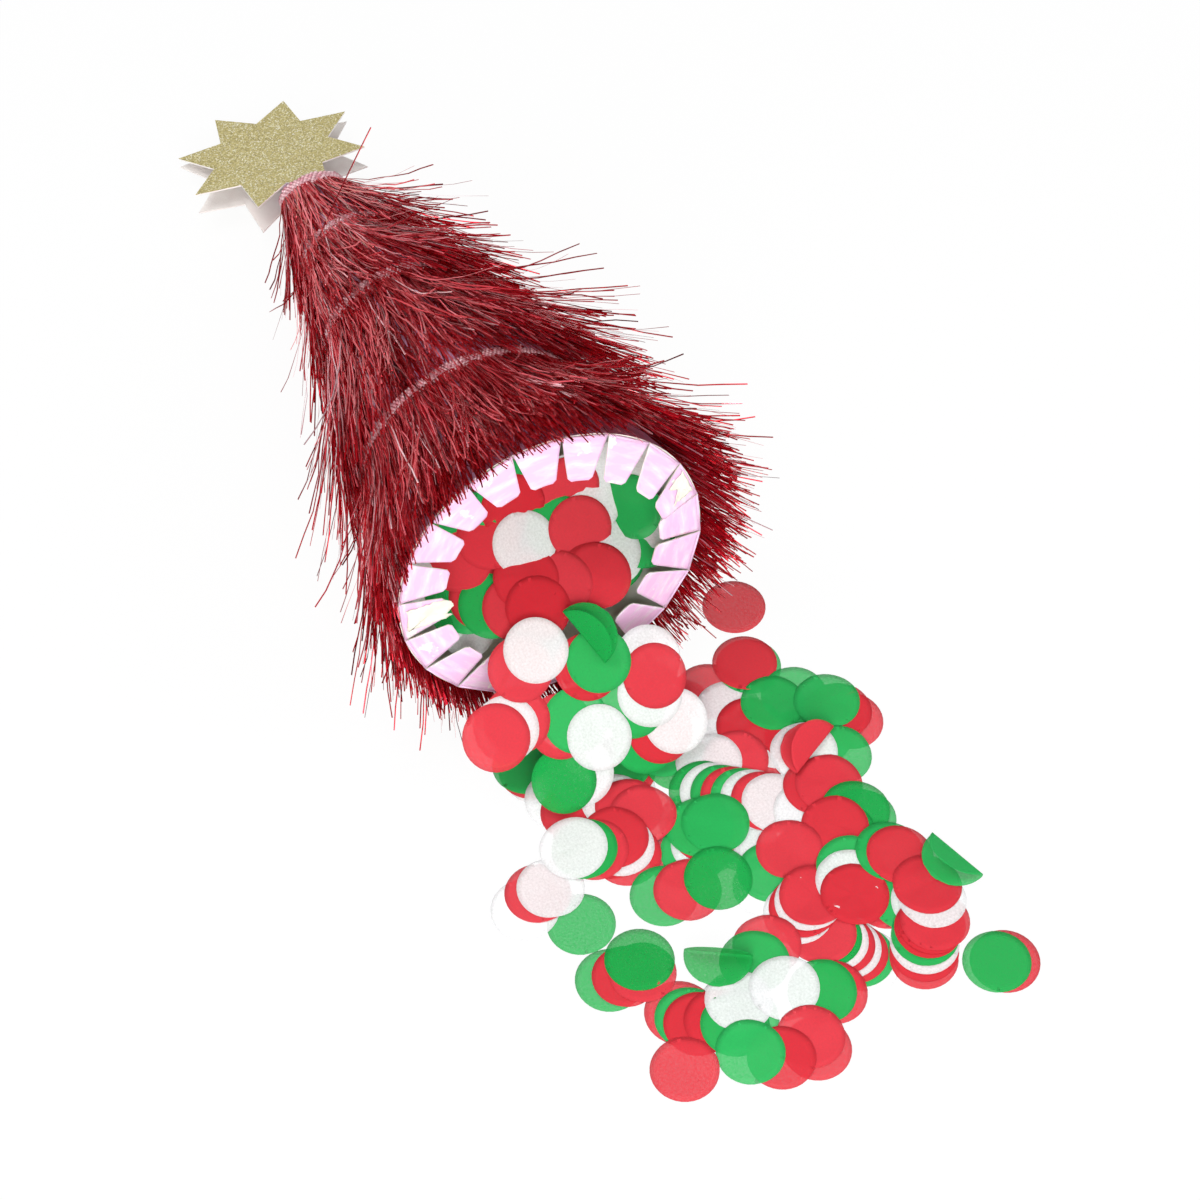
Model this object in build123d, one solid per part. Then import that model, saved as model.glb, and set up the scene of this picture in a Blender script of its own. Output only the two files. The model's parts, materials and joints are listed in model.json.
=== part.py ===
from build123d import *
import math
import os
import random

# A tree-shaped christmas cracker that has been pulled open: a card cone lies on its side with its
# mouth towards +X, its base tabs torn loose, and its tissue confetti spilt out on the floor.
# The floor is z = 0. Lengths are in millimetres and angles in degrees.

# Where the point on the floor below the middle of the mouth lies in the part's frame
MOUTH_X = 56.0
MOUTH_Y = -14.7

# Card cone. Left alone it would be round to its small end, TOP_RADIUS there, but that end is pinched
# flat between the stars: an oval to the neck, which opens out into the round cone.
MOUTH_RADIUS = 60.0
TOP_RADIUS = 9.85
CONE_LENGTH = 262.0
CARD = 0.5
FLOOR_GAP = 6.3
LAP_WIDTH_ANGLE = 18.0
PINCH_LENGTH = 72.0
NECK_FROM_END = 24.0
NECK_HALF_WIDTH = 12.5
END_HALF_WIDTH = 9.2
END_HALF_HEIGHT = 4.6

# Base tabs, cut out of the rim of the cone and creased inwards
TAB_COUNT = 20
TAB_LENGTH = 17.0
TAB_SIDE_GAP = 0.35
TAB_END_GAP = 0.9
CREASE_GAP = 0.55
TAB_FOLDS = [96, 80, 78, 84, 92, 96, 98, 100, 101, 99, 102, 97, 94, 98, 92, 90, 92, 98, 103, 100]

# Scraps of the torn-off base paper, still glued to two of the tabs
SCRAP_SHEET = 0.25
LEFT_SCRAP_TAB = 10
RIGHT_SCRAP_TAB = 1
SCRAP_LENGTH = 20.0
SCRAP_WIDTH = 10.0

# Torn outlines of the scraps, as shares of their width and length from the tab's crease
LEFT_SCRAP_OUTLINE = [(-0.5, 0.1), (0.5, 0.05), (0.45, 0.95), (0.25, 0.85), (0.0, 1.0), (-0.4, 0.88)]
RIGHT_SCRAP_OUTLINE = [(-0.5, 0.03), (0.6, 0.03), (0.5, 0.45), (0.1, 0.3), (-0.3, 0.55)]

# Stars, glued to the top and the underside of the cone's pinched end, so that their far tips meet
STAR_POINTS = 8
STAR_OUTER_RADIUS = 40.0
STAR_INNER_RADIUS = 25.0
STAR_CARD = 0.6
STAR_GLUE_GAP = 0.15
STAR_TIP_GAP = 0.3
STAR_BEYOND_END = 17.0
STAR_SIDEWAYS = -7.0
STAR_TURN = 18.0

# Foil fringe, four turns of one tape: a woven header with strands hanging from its lower edge. The
# top turn is wound over the stars' inner tips and the bottom one hangs a little over the mouth's rim.
TOP_TURN_FROM_END = 12.0
TURN_SHARES = [1.0, 0.74, 0.44, 0.0]
STRANDS_PAST_RIM = 5.0
HEADER_CLEARANCES = [2.4, 0.5, 0.3, 0.3]
FRINGE_SLICES = [4, 5, 6, 8]
STRANDS_PER_SLICE = [13, 14, 16, 17]
TIER_NAMES = ["top", "upper", "middle", "bottom"]
HEADER_WIDTH = 6.0
HEADER_THICKNESS = 1.5
HEADER_FACETS = 4
SLICE_GAP = 0.3
STRAND_LENGTH = 68.0
STRAND_LENGTH_SPREAD = 7.0
STRAND_WIDTH = 1.0
STRAND_HEIGHT = 0.6
STRAND_ROOT = 2.0
STRAND_SEAT = 0.5
STRAND_BEND = 0.4
ROOT_FLARE_SHARE = 0.6
FLARE_LEAST = 12.0
FLARE_MOST = 27.0
FLARE_RIGHT_EXTRA = 7.0
STRAND_DROOP = 3.0
FLOOR_CUT = 0.5
FRINGE_SEED = 12

# Tissue confetti, each disc a flat polygon of the disc's size
DISC_RADIUS = 12.5
DISC_SIDES = 10
TISSUE = 0.15
LAYER_STEP = 0.25
DISC_CLEARANCE = 0.4
CREASE_ROLL = 0.5
LEAN_CLEARANCE = 0.3
WALL_HALVINGS = 24
COLOURS = {"R": "red", "G": "green", "W": "white"}

# Slopes of discs: the one that leans from the floor up over the lower lip of the mouth, the top of
# the heap inside, and the steep face at the back of the heap. Each has its tip from level, and how
# far its middle lies down the slope and off it from the lowest tab's crease. The first two stay
# clear of the tab's free end as it swings.
WALL_CLEARANCE = 0.4
LEAN_TILT = 35.0
LEAN_DOWN = 10.5
LEAN_OFF_TAB = 8.8
HEAP_TILT = 25.0
HEAP_DOWN = -15.8
HEAP_OFF_TAB = 8.3
BACK_TILT = 60.0
BACK_DOWN = -57.2
BACK_OFF = -8.7

# Fans of discs as they fell, from the lowest fan to the top one. Each is the place of its lowest
# disc, the way the fan runs, the step between its discs, and their colours from the lowest up.
# On the floor the place is from the mouth's floor point, and on a slope it is down the slope and
# sideways from the slope's middle. A disc too far out for the cone lies against its wall.
FLOOR_FANS = [
    (85, 18, 40, 7, "WRGW"),
    (60, 40, 20, 8, "WGR"),
    (115, 50, 30, 6, "RWGWR"),
    (140, 62, 60, 7, "WRGW"),
    (66, 62, 70, 8, "WRG"),
    (95, 62, 10, 8, "GWR"),
    (62, 0, 330, 6, "WRW"),
    (72, -18, 20, 6, "RWG"),
    (98, 8, 100, 5, "RGW"),
    (160, -2, 20, 6, "WG"),
    (43, -26, 200, 3, "WRG"),
    (54, 4, 180, 3, "RG"),
    (59, 24, 205, 8, "GG"),
    (33, 31, 45, 6, "WW"),
    (36, 48, 20, 11, "RWR"),
    (32, 67, 200, 2, "GR"),
    (51, 77, 270, 9, "GG"),
    (70, 91, 200, 6, "RRG"),
    (82, 80, 240, 13, "GW"),
    (5, 74, 0, 0, "R"),
    (68, 44, 250, 10, "RW"),
    (75, 27, 54, 3.9, "GWGRGWRW"),
    (99, 58, 0, 0, "W"),
    (91, 66, 80, 5, "RR"),
    (110, 76, 200, 4, "GG"),
    (92, 20, 200, 3, "RG"),
    (90, 25, 0, 0, "G"),
    (113, 66, 200, 4, "GR"),
    (121, 31, 140, 6, "WG"),
    (111, 45, 0, 0, "R"),
    (163, 50, 212, 2.7, "WGRWRWGR"),
    (136, 36, 115, 3, "WRWR"),
    (127, 62, 330, 6, "GW"),
    (138, 58, 0, 0, "R"),
    (127, 78, 45, 4, "GR"),
    (171, 69, 150, 3, "RRWG"),
    (161, 76, 115, 2, "RRR"),
    (151, 83, 170, 6, "WR"),
    (184, 95, 250, 3, "RG"),
    (143, 20, 300, 8, "RG"),
    (154, -20, 30, 4, "RGR"),
    (163, -9, 50, 6, "RG"),
    (159, 1, 0, 0, "W"),
    (170, 33, 240, 4, "RG"),
    (161, 18, 0, 0, "W"),
    (187, 18, 180, 5, "RR"),
    (185, 5, 235, 11, "RG"),
    (175, -28, 0, 0, "R"),
    (132, -37, 80, 6, "GRR"),
    (129, -24, 0, 0, "G"),
    (107, -37, 0, 0, "G"),
    (93, -53, 120, 8, "WR"),
    (89, -41, 0, 0, "W"),
    (56, -23, 20, 8, "WR"),
    (66, -5, 40, 6, "WRR"),
    (88, -10, 190, 4, "RWR"),
    (82, -20, 240, 4, "RGW"),
    (109, -5, 80, 9, "GR"),
    (111, 16, 0, 0, "G"),
]
LEAN_FANS = [
    (20, 14, 100, 7, "GRW"),
    (22.5, -13, 275, 7, "WG"),
    (6, 14, 100, 8, "GW"),
    (4, -14, 90, 6, "RG"),
    (-4, -29, 290, 5, "RWR"),
    (-8, 26, 0, 7, "WR"),
    (-13, 3, 100, 5, "RG"),
    (-21, -21, 120, 9, "RW"),
    (13, -2, 0, 0, "W"),
]
HEAP_FANS = [
    (-12, -6, 100, 9, "GWG"),
    (-20, 22, 80, 6, "RW"),
    (-21, -60, 0, 0, "W"),
    (-21, -30, 0, 0, "G"),
    (-20, -24, 0, 0, "R"),
    (-16, -22, 0, 0, "G"),
    (-21, 60, 0, 0, "G"),
    (-20, 27, 0, 0, "W"),
    (-12, -14, 0, 0, "R"),
    (-21, 8, 0, 0, "R"),
    (-13, 18, 80, 2, "RR"),
    (-15, 5, 0, 0, "R"),
    (-21, -6, 0, 0, "R"),
    (-9, -6, 0, 0, "R"),
]
BACK_FANS = [
    (-14, -2, 90, 12, "WGW"),
    (-13, 28, 0, 0, "W"),
    (-13, 60, 0, 0, "W"),
    (-14, -60, 0, 0, "W"),
    (-14, -31, 90, 9, "RG"),
    (-20, -2, 0, 0, "G"),
    (-13, 14, 90, 6, "RR"),
    (-14, -2, 0, 0, "R"),
]

# Discs creased across that lie on top of the others: where they lie, the way the crease runs, how
# far the free half is bent over, and the colour
FLOOR_FOLDED = [
    (140, 2, 60, 110, "G"),
    (77, 72, 300, 140, "R"),
    (139, 99, 20, 150, "G"),
]
LEAN_FOLDED = [
    (-24, 6, 200, 130, "G"),
]

HALF_ANGLE = math.degrees(math.atan((MOUTH_RADIUS - TOP_RADIUS) / CONE_LENGTH))

# The slope of a star off the cone's axis, for the stars' far tips to just meet
STAR_REACH = STAR_BEYOND_END + STAR_OUTER_RADIUS + STAR_TIP_GAP
STAR_SLOPE = math.atan((END_HALF_HEIGHT + STAR_GLUE_GAP) / STAR_REACH)
CREASE_RADIUS = MOUTH_RADIUS * math.cos(math.pi / TAB_COUNT) - CARD / 2
MOUTH_Z = FLOOR_GAP + MOUTH_RADIUS * math.cos(math.radians(HALF_ANGLE))
AXIS_X = math.cos(math.radians(HALF_ANGLE))
AXIS_Z = math.sin(math.radians(HALF_ANGLE))

# The mouth's own frame: z out along the cone's axis, x to +Y, y up
MOUTH = Plane(origin=(MOUTH_X, MOUTH_Y, MOUTH_Z), x_dir=(0, 1, 0), z_dir=(AXIS_X, 0, AXIS_Z))


def card_radius(along):
    """Outside radius of the round cone at a distance along its axis from the mouth, negative inwards."""
    return MOUTH_RADIUS + along * (MOUTH_RADIUS - TOP_RADIUS) / CONE_LENGTH


def card_section(along):
    """Half width and half height of the card's outside: the round cone, then the neck and the end."""
    from_end = CONE_LENGTH + along
    round_radius = card_radius(max(along, PINCH_LENGTH - CONE_LENGTH))
    if from_end >= PINCH_LENGTH:
        return round_radius, round_radius
    neck_height = END_HALF_HEIGHT + NECK_FROM_END * math.tan(STAR_SLOPE)
    if from_end > NECK_FROM_END:
        share = (from_end - NECK_FROM_END) / (PINCH_LENGTH - NECK_FROM_END)
        wide = NECK_HALF_WIDTH + (round_radius - NECK_HALF_WIDTH) * share
        return wide, neck_height + (round_radius - neck_height) * share
    share = from_end / NECK_FROM_END
    wide = END_HALF_WIDTH + (NECK_HALF_WIDTH - END_HALF_WIDTH) * share
    return wide, END_HALF_HEIGHT + (neck_height - END_HALF_HEIGHT) * share


def mouth_vector(angle, radial, along):
    """A direction in the part's frame from its radial and axial shares at an angle round the mouth."""
    turn = math.radians(angle)
    side = MOUTH.x_dir * math.cos(turn) + MOUTH.y_dir * math.sin(turn)
    return side * radial + MOUTH.z_dir * along


def mouth_point(angle, radius, along):
    """A point in the part's frame from its place round, out from and along the cone's axis."""
    return MOUTH.origin + mouth_vector(angle, radius, along)


def card_point(angle, off, along, stretch=1):
    """A point off the card's outside, at an angle round its oval section, in the part's frame."""
    wide, high = card_section(along)
    turn = math.radians(angle)
    side = MOUTH.x_dir * ((wide + off) * stretch * math.cos(turn))
    return MOUTH.origin + side + MOUTH.y_dir * ((high + off) * stretch * math.sin(turn)) + MOUTH.z_dir * along


def prism(points, lift):
    """A solid from a flat outline carried along a straight line."""
    return Solid.extrude(Face(Wire.make_polygon(points, close=True)), lift)


def card_core(depth):
    """All that lies within the card's surface at a depth below its outside, from mouth to end."""
    sections = []
    for along in (0, PINCH_LENGTH - CONE_LENGTH, NECK_FROM_END - CONE_LENGTH, -CONE_LENGTH):
        wide, high = card_section(along)
        sections.append(Pos(0, 0, along) * Ellipse(wide - depth, high - depth))
    return loft(sections, ruled=True)


def cone_card():
    """The rolled card cone, with the lap of its glued seam along the underside."""
    far = 2 * MOUTH_RADIUS
    half = math.radians(LAP_WIDTH_ANGLE / 2)
    across, down = far * math.sin(half), far * math.cos(half)
    wedge = make_face(Polyline((0, 0), (across, -down), (-across, -down), close=True))
    lap = Pos(0, 0, far) * extrude(wedge, -CONE_LENGTH - 2 * far) - card_core(2 * CARD)
    hollow = card_core(CARD) - lap
    return MOUTH * (card_core(0) - hollow)


def tab_frame(index):
    """The frame of a tab on its crease: x along the crease, y to the tab's free end, z outside."""
    angle = index * 360 / TAB_COUNT
    fold = math.radians(TAB_FOLDS[index % len(TAB_FOLDS)])
    tilt = math.radians(HALF_ANGLE)
    straight = mouth_vector(angle, math.sin(tilt), math.cos(tilt))
    inward = mouth_vector(angle, -math.cos(tilt), math.sin(tilt))
    reach = straight * math.cos(fold) + inward * math.sin(fold)
    outside = straight * math.sin(fold) - inward * math.cos(fold)
    crease = mouth_point(angle, CREASE_RADIUS, CREASE_GAP)
    return Plane(origin=crease, x_dir=reach.cross(outside), z_dir=outside)


def base_tab(index):
    """One tapered tab, creased inwards from the rim."""
    half_turn = math.tan(math.pi / TAB_COUNT)
    root = (MOUTH_RADIUS - CARD) * half_turn - TAB_SIDE_GAP
    end = (MOUTH_RADIUS - CARD - TAB_LENGTH) * half_turn - TAB_END_GAP
    outline = [(-root, 0), (root, 0), (end, TAB_LENGTH), (-end, TAB_LENGTH)]
    plate = extrude(make_face(Polyline(*outline, close=True)), CARD / 2, both=True)
    return tab_frame(index) * plate


def torn_scrap(shares, tab):
    """A scrap of the base paper, glued to the outside of a tab and torn along its other edges."""
    outline = [(width * SCRAP_WIDTH, length * SCRAP_LENGTH) for width, length in shares]
    plate = extrude(make_face(Polyline(*outline, close=True)), SCRAP_SHEET)
    return tab_frame(tab) * (Pos(0, 0, CARD / 2) * plate)


def star_plate():
    """The flat outline of a star, cut from card."""
    outline = []
    for step in range(2 * STAR_POINTS):
        radius = STAR_INNER_RADIUS if step % 2 else STAR_OUTER_RADIUS
        turn = math.radians(STAR_TURN + step * 180 / STAR_POINTS)
        outline.append((radius * math.cos(turn), radius * math.sin(turn)))
    return extrude(make_face(Polyline(*outline, close=True)), STAR_CARD)


def star(side):
    """A star glued along the top (side 1) or the underside (side -1) of the cone's pinched end."""
    along = mouth_vector(90 * side, math.sin(STAR_SLOPE), math.cos(STAR_SLOPE))
    outwards = mouth_vector(90 * side, math.cos(STAR_SLOPE), -math.sin(STAR_SLOPE))
    seat = STAR_GLUE_GAP if side > 0 else STAR_GLUE_GAP + STAR_CARD
    end = card_point(90 * side, 0, -CONE_LENGTH)
    middle = end - along * STAR_BEYOND_END + outwards * seat + Vector(0, STAR_SIDEWAYS, 0)
    return Plane(origin=middle, x_dir=along, z_dir=outwards * side) * star_plate()


def header_place(tier):
    """Where the upper edge of a turn of header lies along the cone's axis, negative from the mouth."""
    top = TOP_TURN_FROM_END - CONE_LENGTH
    bottom = STRANDS_PAST_RIM - STRAND_LENGTH - HEADER_WIDTH
    return bottom + (top - bottom) * TURN_SHARES[tier]


def header_slice(tier, first, last):
    """A slice of the woven header, in flat facets that stand just clear of the card."""
    angles = [first + (last - first) * step / HEADER_FACETS for step in range(HEADER_FACETS + 1)]
    corner = 1 / math.cos(math.radians((last - first) / HEADER_FACETS / 2))
    near = header_place(tier)
    blocks = []
    for start, end in zip(angles, angles[1:]):
        sections = []
        for along in (near, near + HEADER_WIDTH):
            inner = HEADER_CLEARANCES[tier]
            outer = inner + HEADER_THICKNESS
            ring = [(start, inner), (end, inner), (end, outer), (start, outer)]
            points = [card_point(angle, off, along, corner) for angle, off in ring]
            sections.append(Wire.make_polygon(points, close=True))
        blocks.append(Solid.make_loft(sections, ruled=True))
    return blocks


def strand_flare(angle, wanted, root_height, length):
    """The flare of a strand off the cone, held back where the floor flattens it."""
    tilt = math.radians(HALF_ANGLE)
    rise = math.sin(tilt)
    drop = math.cos(tilt) * math.sin(math.radians(angle))
    reach = math.hypot(rise, drop)
    share = (-FLOOR_CUT - root_height) / length / reach
    if abs(share) > 1:
        return wanted
    most = math.degrees(math.atan2(drop, rise) + math.acos(share)) - HALF_ANGLE
    return min(wanted, most)


def strand(tier, angle, draw):
    """One foil strand, three-sided, from inside the header out to its free tip with one bend."""
    near = header_place(tier) + HEADER_WIDTH - STRAND_ROOT
    root = card_point(angle, HEADER_CLEARANCES[tier] + STRAND_SEAT, near)
    length = STRAND_LENGTH + STRAND_ROOT + draw.uniform(-STRAND_LENGTH_SPREAD, STRAND_LENGTH_SPREAD)
    wanted = draw.uniform(FLARE_LEAST, FLARE_MOST)
    wanted += FLARE_RIGHT_EXTRA * math.cos(math.radians(angle))
    across = mouth_vector(angle + 90, STRAND_WIDTH / 2, 0)
    out = mouth_vector(angle, STRAND_HEIGHT, 0)
    section = [root - across, root + across, root + out]
    flare = strand_flare(angle, wanted, root.Z, length)
    steps = []
    for share, part_flare in ((STRAND_BEND, flare * ROOT_FLARE_SHARE), (1 - STRAND_BEND, flare)):
        turn = math.radians(HALF_ANGLE + part_flare)
        steps.append(mouth_vector(angle, math.sin(turn), math.cos(turn)) * (length * share))
    upper, lower = steps
    if (root + upper + lower).Z > STRAND_DROOP:
        lower = lower - Vector(0, 0, STRAND_DROOP)
    return [prism(section, upper), prism([point + upper for point in section], lower)]


def fringe_slice(tier, index, draw):
    """A slice of one turn of fringe: its stretch of header with the strands that hang from it."""
    span = 360 / FRINGE_SLICES[tier]
    count = STRANDS_PER_SLICE[tier]
    radius = card_radius(header_place(tier))
    margin = math.degrees(SLICE_GAP / 2 / radius)
    first = index * span
    pieces = header_slice(tier, first + margin, first + span - margin)
    for number in range(count):
        pieces += strand(tier, first + span * (number + 0.5) / count, draw)
    body = pieces[0].fuse(*pieces[1:])
    depth = 2 * CONE_LENGTH
    return body - Pos(MOUTH_X, MOUTH_Y, -depth / 2) * Box(2 * depth, 2 * depth, depth)


def rim_point(frame, x, y, height, corner):
    """A corner of a disc that lies in a frame, in the part's frame."""
    turn = 2 * math.pi * corner / DISC_SIDES
    across = frame.x_dir * (x + DISC_RADIUS * math.cos(turn))
    return frame.origin + across + frame.y_dir * (y + DISC_RADIUS * math.sin(turn)) + frame.z_dir * height


def wall_gap(frame, x, y):
    """The least distance of a disc's rim from the inside of the cone, or of the mouth if outside it."""
    least = MOUTH_RADIUS
    for corner in range(DISC_SIDES):
        spot = rim_point(frame, x, y, 0, corner) - MOUTH.origin
        along = spot.dot(MOUTH.z_dir)
        if along < 0:
            out = math.hypot(spot.dot(MOUTH.x_dir), spot.dot(MOUTH.y_dir))
            least = min(least, card_radius(along) - CARD - out)
    return least


def inside_wall(frame, x, y):
    """A disc's sideways place, drawn in as far as the wall of the cone asks."""
    if wall_gap(frame, x, y) > WALL_CLEARANCE:
        return y
    inner, outer = 0, y
    for _ in range(WALL_HALVINGS):
        middle = (inner + outer) / 2
        if wall_gap(frame, x, middle) > WALL_CLEARANCE:
            inner = middle
        else:
            outer = middle
    return inner


def settle(frame, fans, in_cone):
    """Lay fans of discs one after another, each disc in the lowest layer clear of those below it."""
    laid = []
    reach = 2 * DISC_RADIUS + DISC_CLEARANCE
    for x, y, heading, step, colours in fans:
        turn = math.radians(heading)
        for number, colour in enumerate(colours):
            place_x = x + number * step * math.cos(turn)
            place_y = y + number * step * math.sin(turn)
            if in_cone:
                place_y = inside_wall(frame, place_x, place_y)
            below = [layer for spot, layer, _ in laid if math.dist(spot, (place_x, place_y)) < reach]
            laid.append(((place_x, place_y), max(below, default=-1) + 1, colour))
    return laid


def slope_frame(tilt, down, off):
    """The frame of a slope of discs: x down the slope, y to +Y, z off the slope."""
    turn = math.radians(tilt)
    along = Vector(math.cos(turn), 0, -math.sin(turn))
    normal = Vector(math.sin(turn), 0, math.cos(turn))
    crease = mouth_point(-90, CREASE_RADIUS, CREASE_GAP)
    return Plane(origin=crease + along * down + normal * off, x_dir=along, z_dir=normal)


def lift_over_pile(frame, fans, floor, pile_fans):
    """How far a slope has to rise for its discs to lie just clear of the pile on the floor."""
    pile = settle(floor, pile_fans, False)
    reach = DISC_RADIUS + DISC_CLEARANCE
    lift = 0
    for (x, y), layer, _ in settle(frame, fans, False):
        for corner in range(DISC_SIDES):
            point = rim_point(frame, x, y, layer * LAYER_STEP, corner)
            spot = (point.X - floor.origin.X, point.Y - floor.origin.Y)
            under = [pile_layer for middle, pile_layer, _ in pile if math.dist(middle, spot) < reach]
            lift = max(lift, (max(under, default=-1) + 1) * LAYER_STEP + LEAN_CLEARANCE - point.Z)
    return lift


def folded_disc(bend):
    """A disc creased along x, with its far half bent up and over by an angle."""
    disc = extrude(RegularPolygon(DISC_RADIUS, DISC_SIDES), TISSUE)
    half = disc & (Pos(0, -DISC_RADIUS, 0) * Box(4 * DISC_RADIUS, 2 * DISC_RADIUS, DISC_RADIUS))
    roll = Pos(0, 0, CREASE_ROLL / 2) * Box(2 * DISC_RADIUS - 2 * CREASE_ROLL, CREASE_ROLL, CREASE_ROLL)
    free_half = Pos(0, 0, CREASE_ROLL / 2) * (Rot(bend, 0, 0) * (Rot(0, 0, 180) * half))
    return half + roll + free_half


def confetti(frame, fans, folded, in_cone):
    """Discs on a plane, sorted by colour, with the folded ones laid last."""
    disc = extrude(RegularPolygon(DISC_RADIUS, DISC_SIDES), TISSUE)
    sorted_discs = {colour: [] for colour in COLOURS}
    laid = settle(frame, fans + [(x, y, 0, 0, colour) for x, y, *_, colour in folded], in_cone)
    flat_count = len(laid) - len(folded)
    for (x, y), layer, colour in laid[:flat_count]:
        sorted_discs[colour].append(frame * (Pos(x, y, layer * LAYER_STEP) * disc))
    for ((x, y), layer, colour), (_, _, turn, bend, _) in zip(laid[flat_count:], folded):
        place = Pos(x, y, layer * LAYER_STEP) * Rot(0, 0, turn)
        sorted_discs[colour].append(frame * (place * folded_disc(bend)))
    return sorted_discs


def export_nodes(nodes):
    """Write one file for each node."""
    os.makedirs("parts", exist_ok=True)
    for name, shape in nodes.items():
        shape.label = name
        export_step(shape, f"parts/{name}.step")


def main():
    """Build every piece of the cracker and write it out."""
    nodes = {"cone_card": cone_card(), "front_star": star(1), "back_star": star(-1)}
    for index in range(TAB_COUNT):
        nodes[f"base_tab_{index + 1:02d}"] = base_tab(index)
    nodes["torn_scrap_left"] = torn_scrap(LEFT_SCRAP_OUTLINE, LEFT_SCRAP_TAB)
    nodes["torn_scrap_right"] = torn_scrap(RIGHT_SCRAP_OUTLINE, RIGHT_SCRAP_TAB)
    draw = random.Random(FRINGE_SEED)
    for tier, name in enumerate(TIER_NAMES):
        for index in range(FRINGE_SLICES[tier]):
            nodes[f"{name}_fringe_{index + 1}"] = fringe_slice(tier, index, draw)
    floor = Plane(origin=(MOUTH_X, MOUTH_Y, 0))
    lean = slope_frame(LEAN_TILT, LEAN_DOWN, TAB_LENGTH + LEAN_OFF_TAB)
    lean = lean.offset(lift_over_pile(lean, LEAN_FANS, floor, FLOOR_FANS))
    top = slope_frame(HEAP_TILT, HEAP_DOWN, TAB_LENGTH + HEAP_OFF_TAB)
    back = slope_frame(BACK_TILT, BACK_DOWN, BACK_OFF)
    spill = [
        confetti(floor, FLOOR_FANS, FLOOR_FOLDED, False),
        confetti(lean, LEAN_FANS, LEAN_FOLDED, False),
    ]
    heap = [confetti(top, HEAP_FANS, [], True), confetti(back, BACK_FANS, [], True)]
    for pile_name, pile in (("spilt", spill), ("heaped", heap)):
        for colour, word in COLOURS.items():
            discs = [disc for group in pile for disc in group[colour]]
            nodes[f"{pile_name}_{word}_confetti"] = Compound(children=discs)
    export_nodes(nodes)


main()
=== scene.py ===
"""Looks of a tree-shaped christmas cracker that has been pulled open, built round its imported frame."""

import json
import logging
import math
from dataclasses import dataclass, field
from enum import Enum

import bpy
import numpy as np
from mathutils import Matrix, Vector


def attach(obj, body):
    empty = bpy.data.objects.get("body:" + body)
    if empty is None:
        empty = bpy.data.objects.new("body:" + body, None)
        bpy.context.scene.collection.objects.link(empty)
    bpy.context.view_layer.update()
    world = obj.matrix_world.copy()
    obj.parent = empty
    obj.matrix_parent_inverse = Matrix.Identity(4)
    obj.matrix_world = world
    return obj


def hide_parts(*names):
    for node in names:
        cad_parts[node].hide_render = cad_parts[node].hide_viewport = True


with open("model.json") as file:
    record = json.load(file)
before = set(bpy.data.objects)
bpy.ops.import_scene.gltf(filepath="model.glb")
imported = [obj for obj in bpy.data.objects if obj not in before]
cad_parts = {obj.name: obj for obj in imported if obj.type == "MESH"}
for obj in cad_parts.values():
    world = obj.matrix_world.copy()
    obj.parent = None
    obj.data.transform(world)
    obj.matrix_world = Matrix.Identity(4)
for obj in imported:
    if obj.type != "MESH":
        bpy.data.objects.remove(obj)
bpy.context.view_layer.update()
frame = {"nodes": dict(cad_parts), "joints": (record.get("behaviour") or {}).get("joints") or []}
MM = 0.001
HUB_SHARE = 0.02
TONE_RANGE = 0.45
SHEET_RANGE = 900.0
LEVEL_NORMAL = 0.99
HEADER_SEED = 100
LOG = logging.getLogger("cracker")
Socket = bpy.types.NodeSocket


def linear(colour: str) -> tuple[float, float, float, float]:
    """Turn an sRGB hex colour into Blender's linear one.

    Args:
        colour: Six hex digits after a hash sign.

    Returns:
        Red, green, blue and an alpha of one.
    """
    shares = np.array([int(colour[i:i + 2], 16) for i in (1, 3, 5)]) / 255
    bright = np.where(shares <= 0.04045, shares / 12.92, ((shares + 0.055) / 1.055) ** 2.4)
    return (*bright.tolist(), 1.0)


def feed(tree: bpy.types.NodeTree, node: bpy.types.Node, inputs: dict) -> None:
    """Set inputs of a node, by name or number, to values or link them to output sockets."""
    for socket, source in inputs.items():
        if isinstance(source, Socket):
            tree.links.new(source, node.inputs[socket])
        else:
            node.inputs[socket].default_value = source


def add_node(
    tree: bpy.types.NodeTree, kind: str, inputs: dict | None = None, **settings: object
) -> bpy.types.Node:
    """Add a node with its settings, and set or link its inputs.

    Args:
        tree: The node tree to add to.
        kind: The node's type name.
        inputs: Input name or number to a value or an output socket.
        settings: Properties of the node itself.

    Returns:
        The new node.
    """
    node = tree.nodes.new(kind)
    for name, value in settings.items():
        setattr(node, name, value)
    feed(tree, node, inputs or {})
    return node


def ramp(tree: bpy.types.NodeTree, value: Socket, *stops: tuple[float, str]) -> Socket:
    """Colour that a value picks from stops, each a place and a hex colour."""
    node = add_node(tree, "ShaderNodeValToRGB", {"Fac": value})
    elements = node.color_ramp.elements
    while len(elements) < len(stops):
        elements.new(0.5)
    for element, (place, colour) in zip(elements, stops):
        element.position = place
        element.color = linear(colour)
    return node.outputs["Color"]


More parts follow.
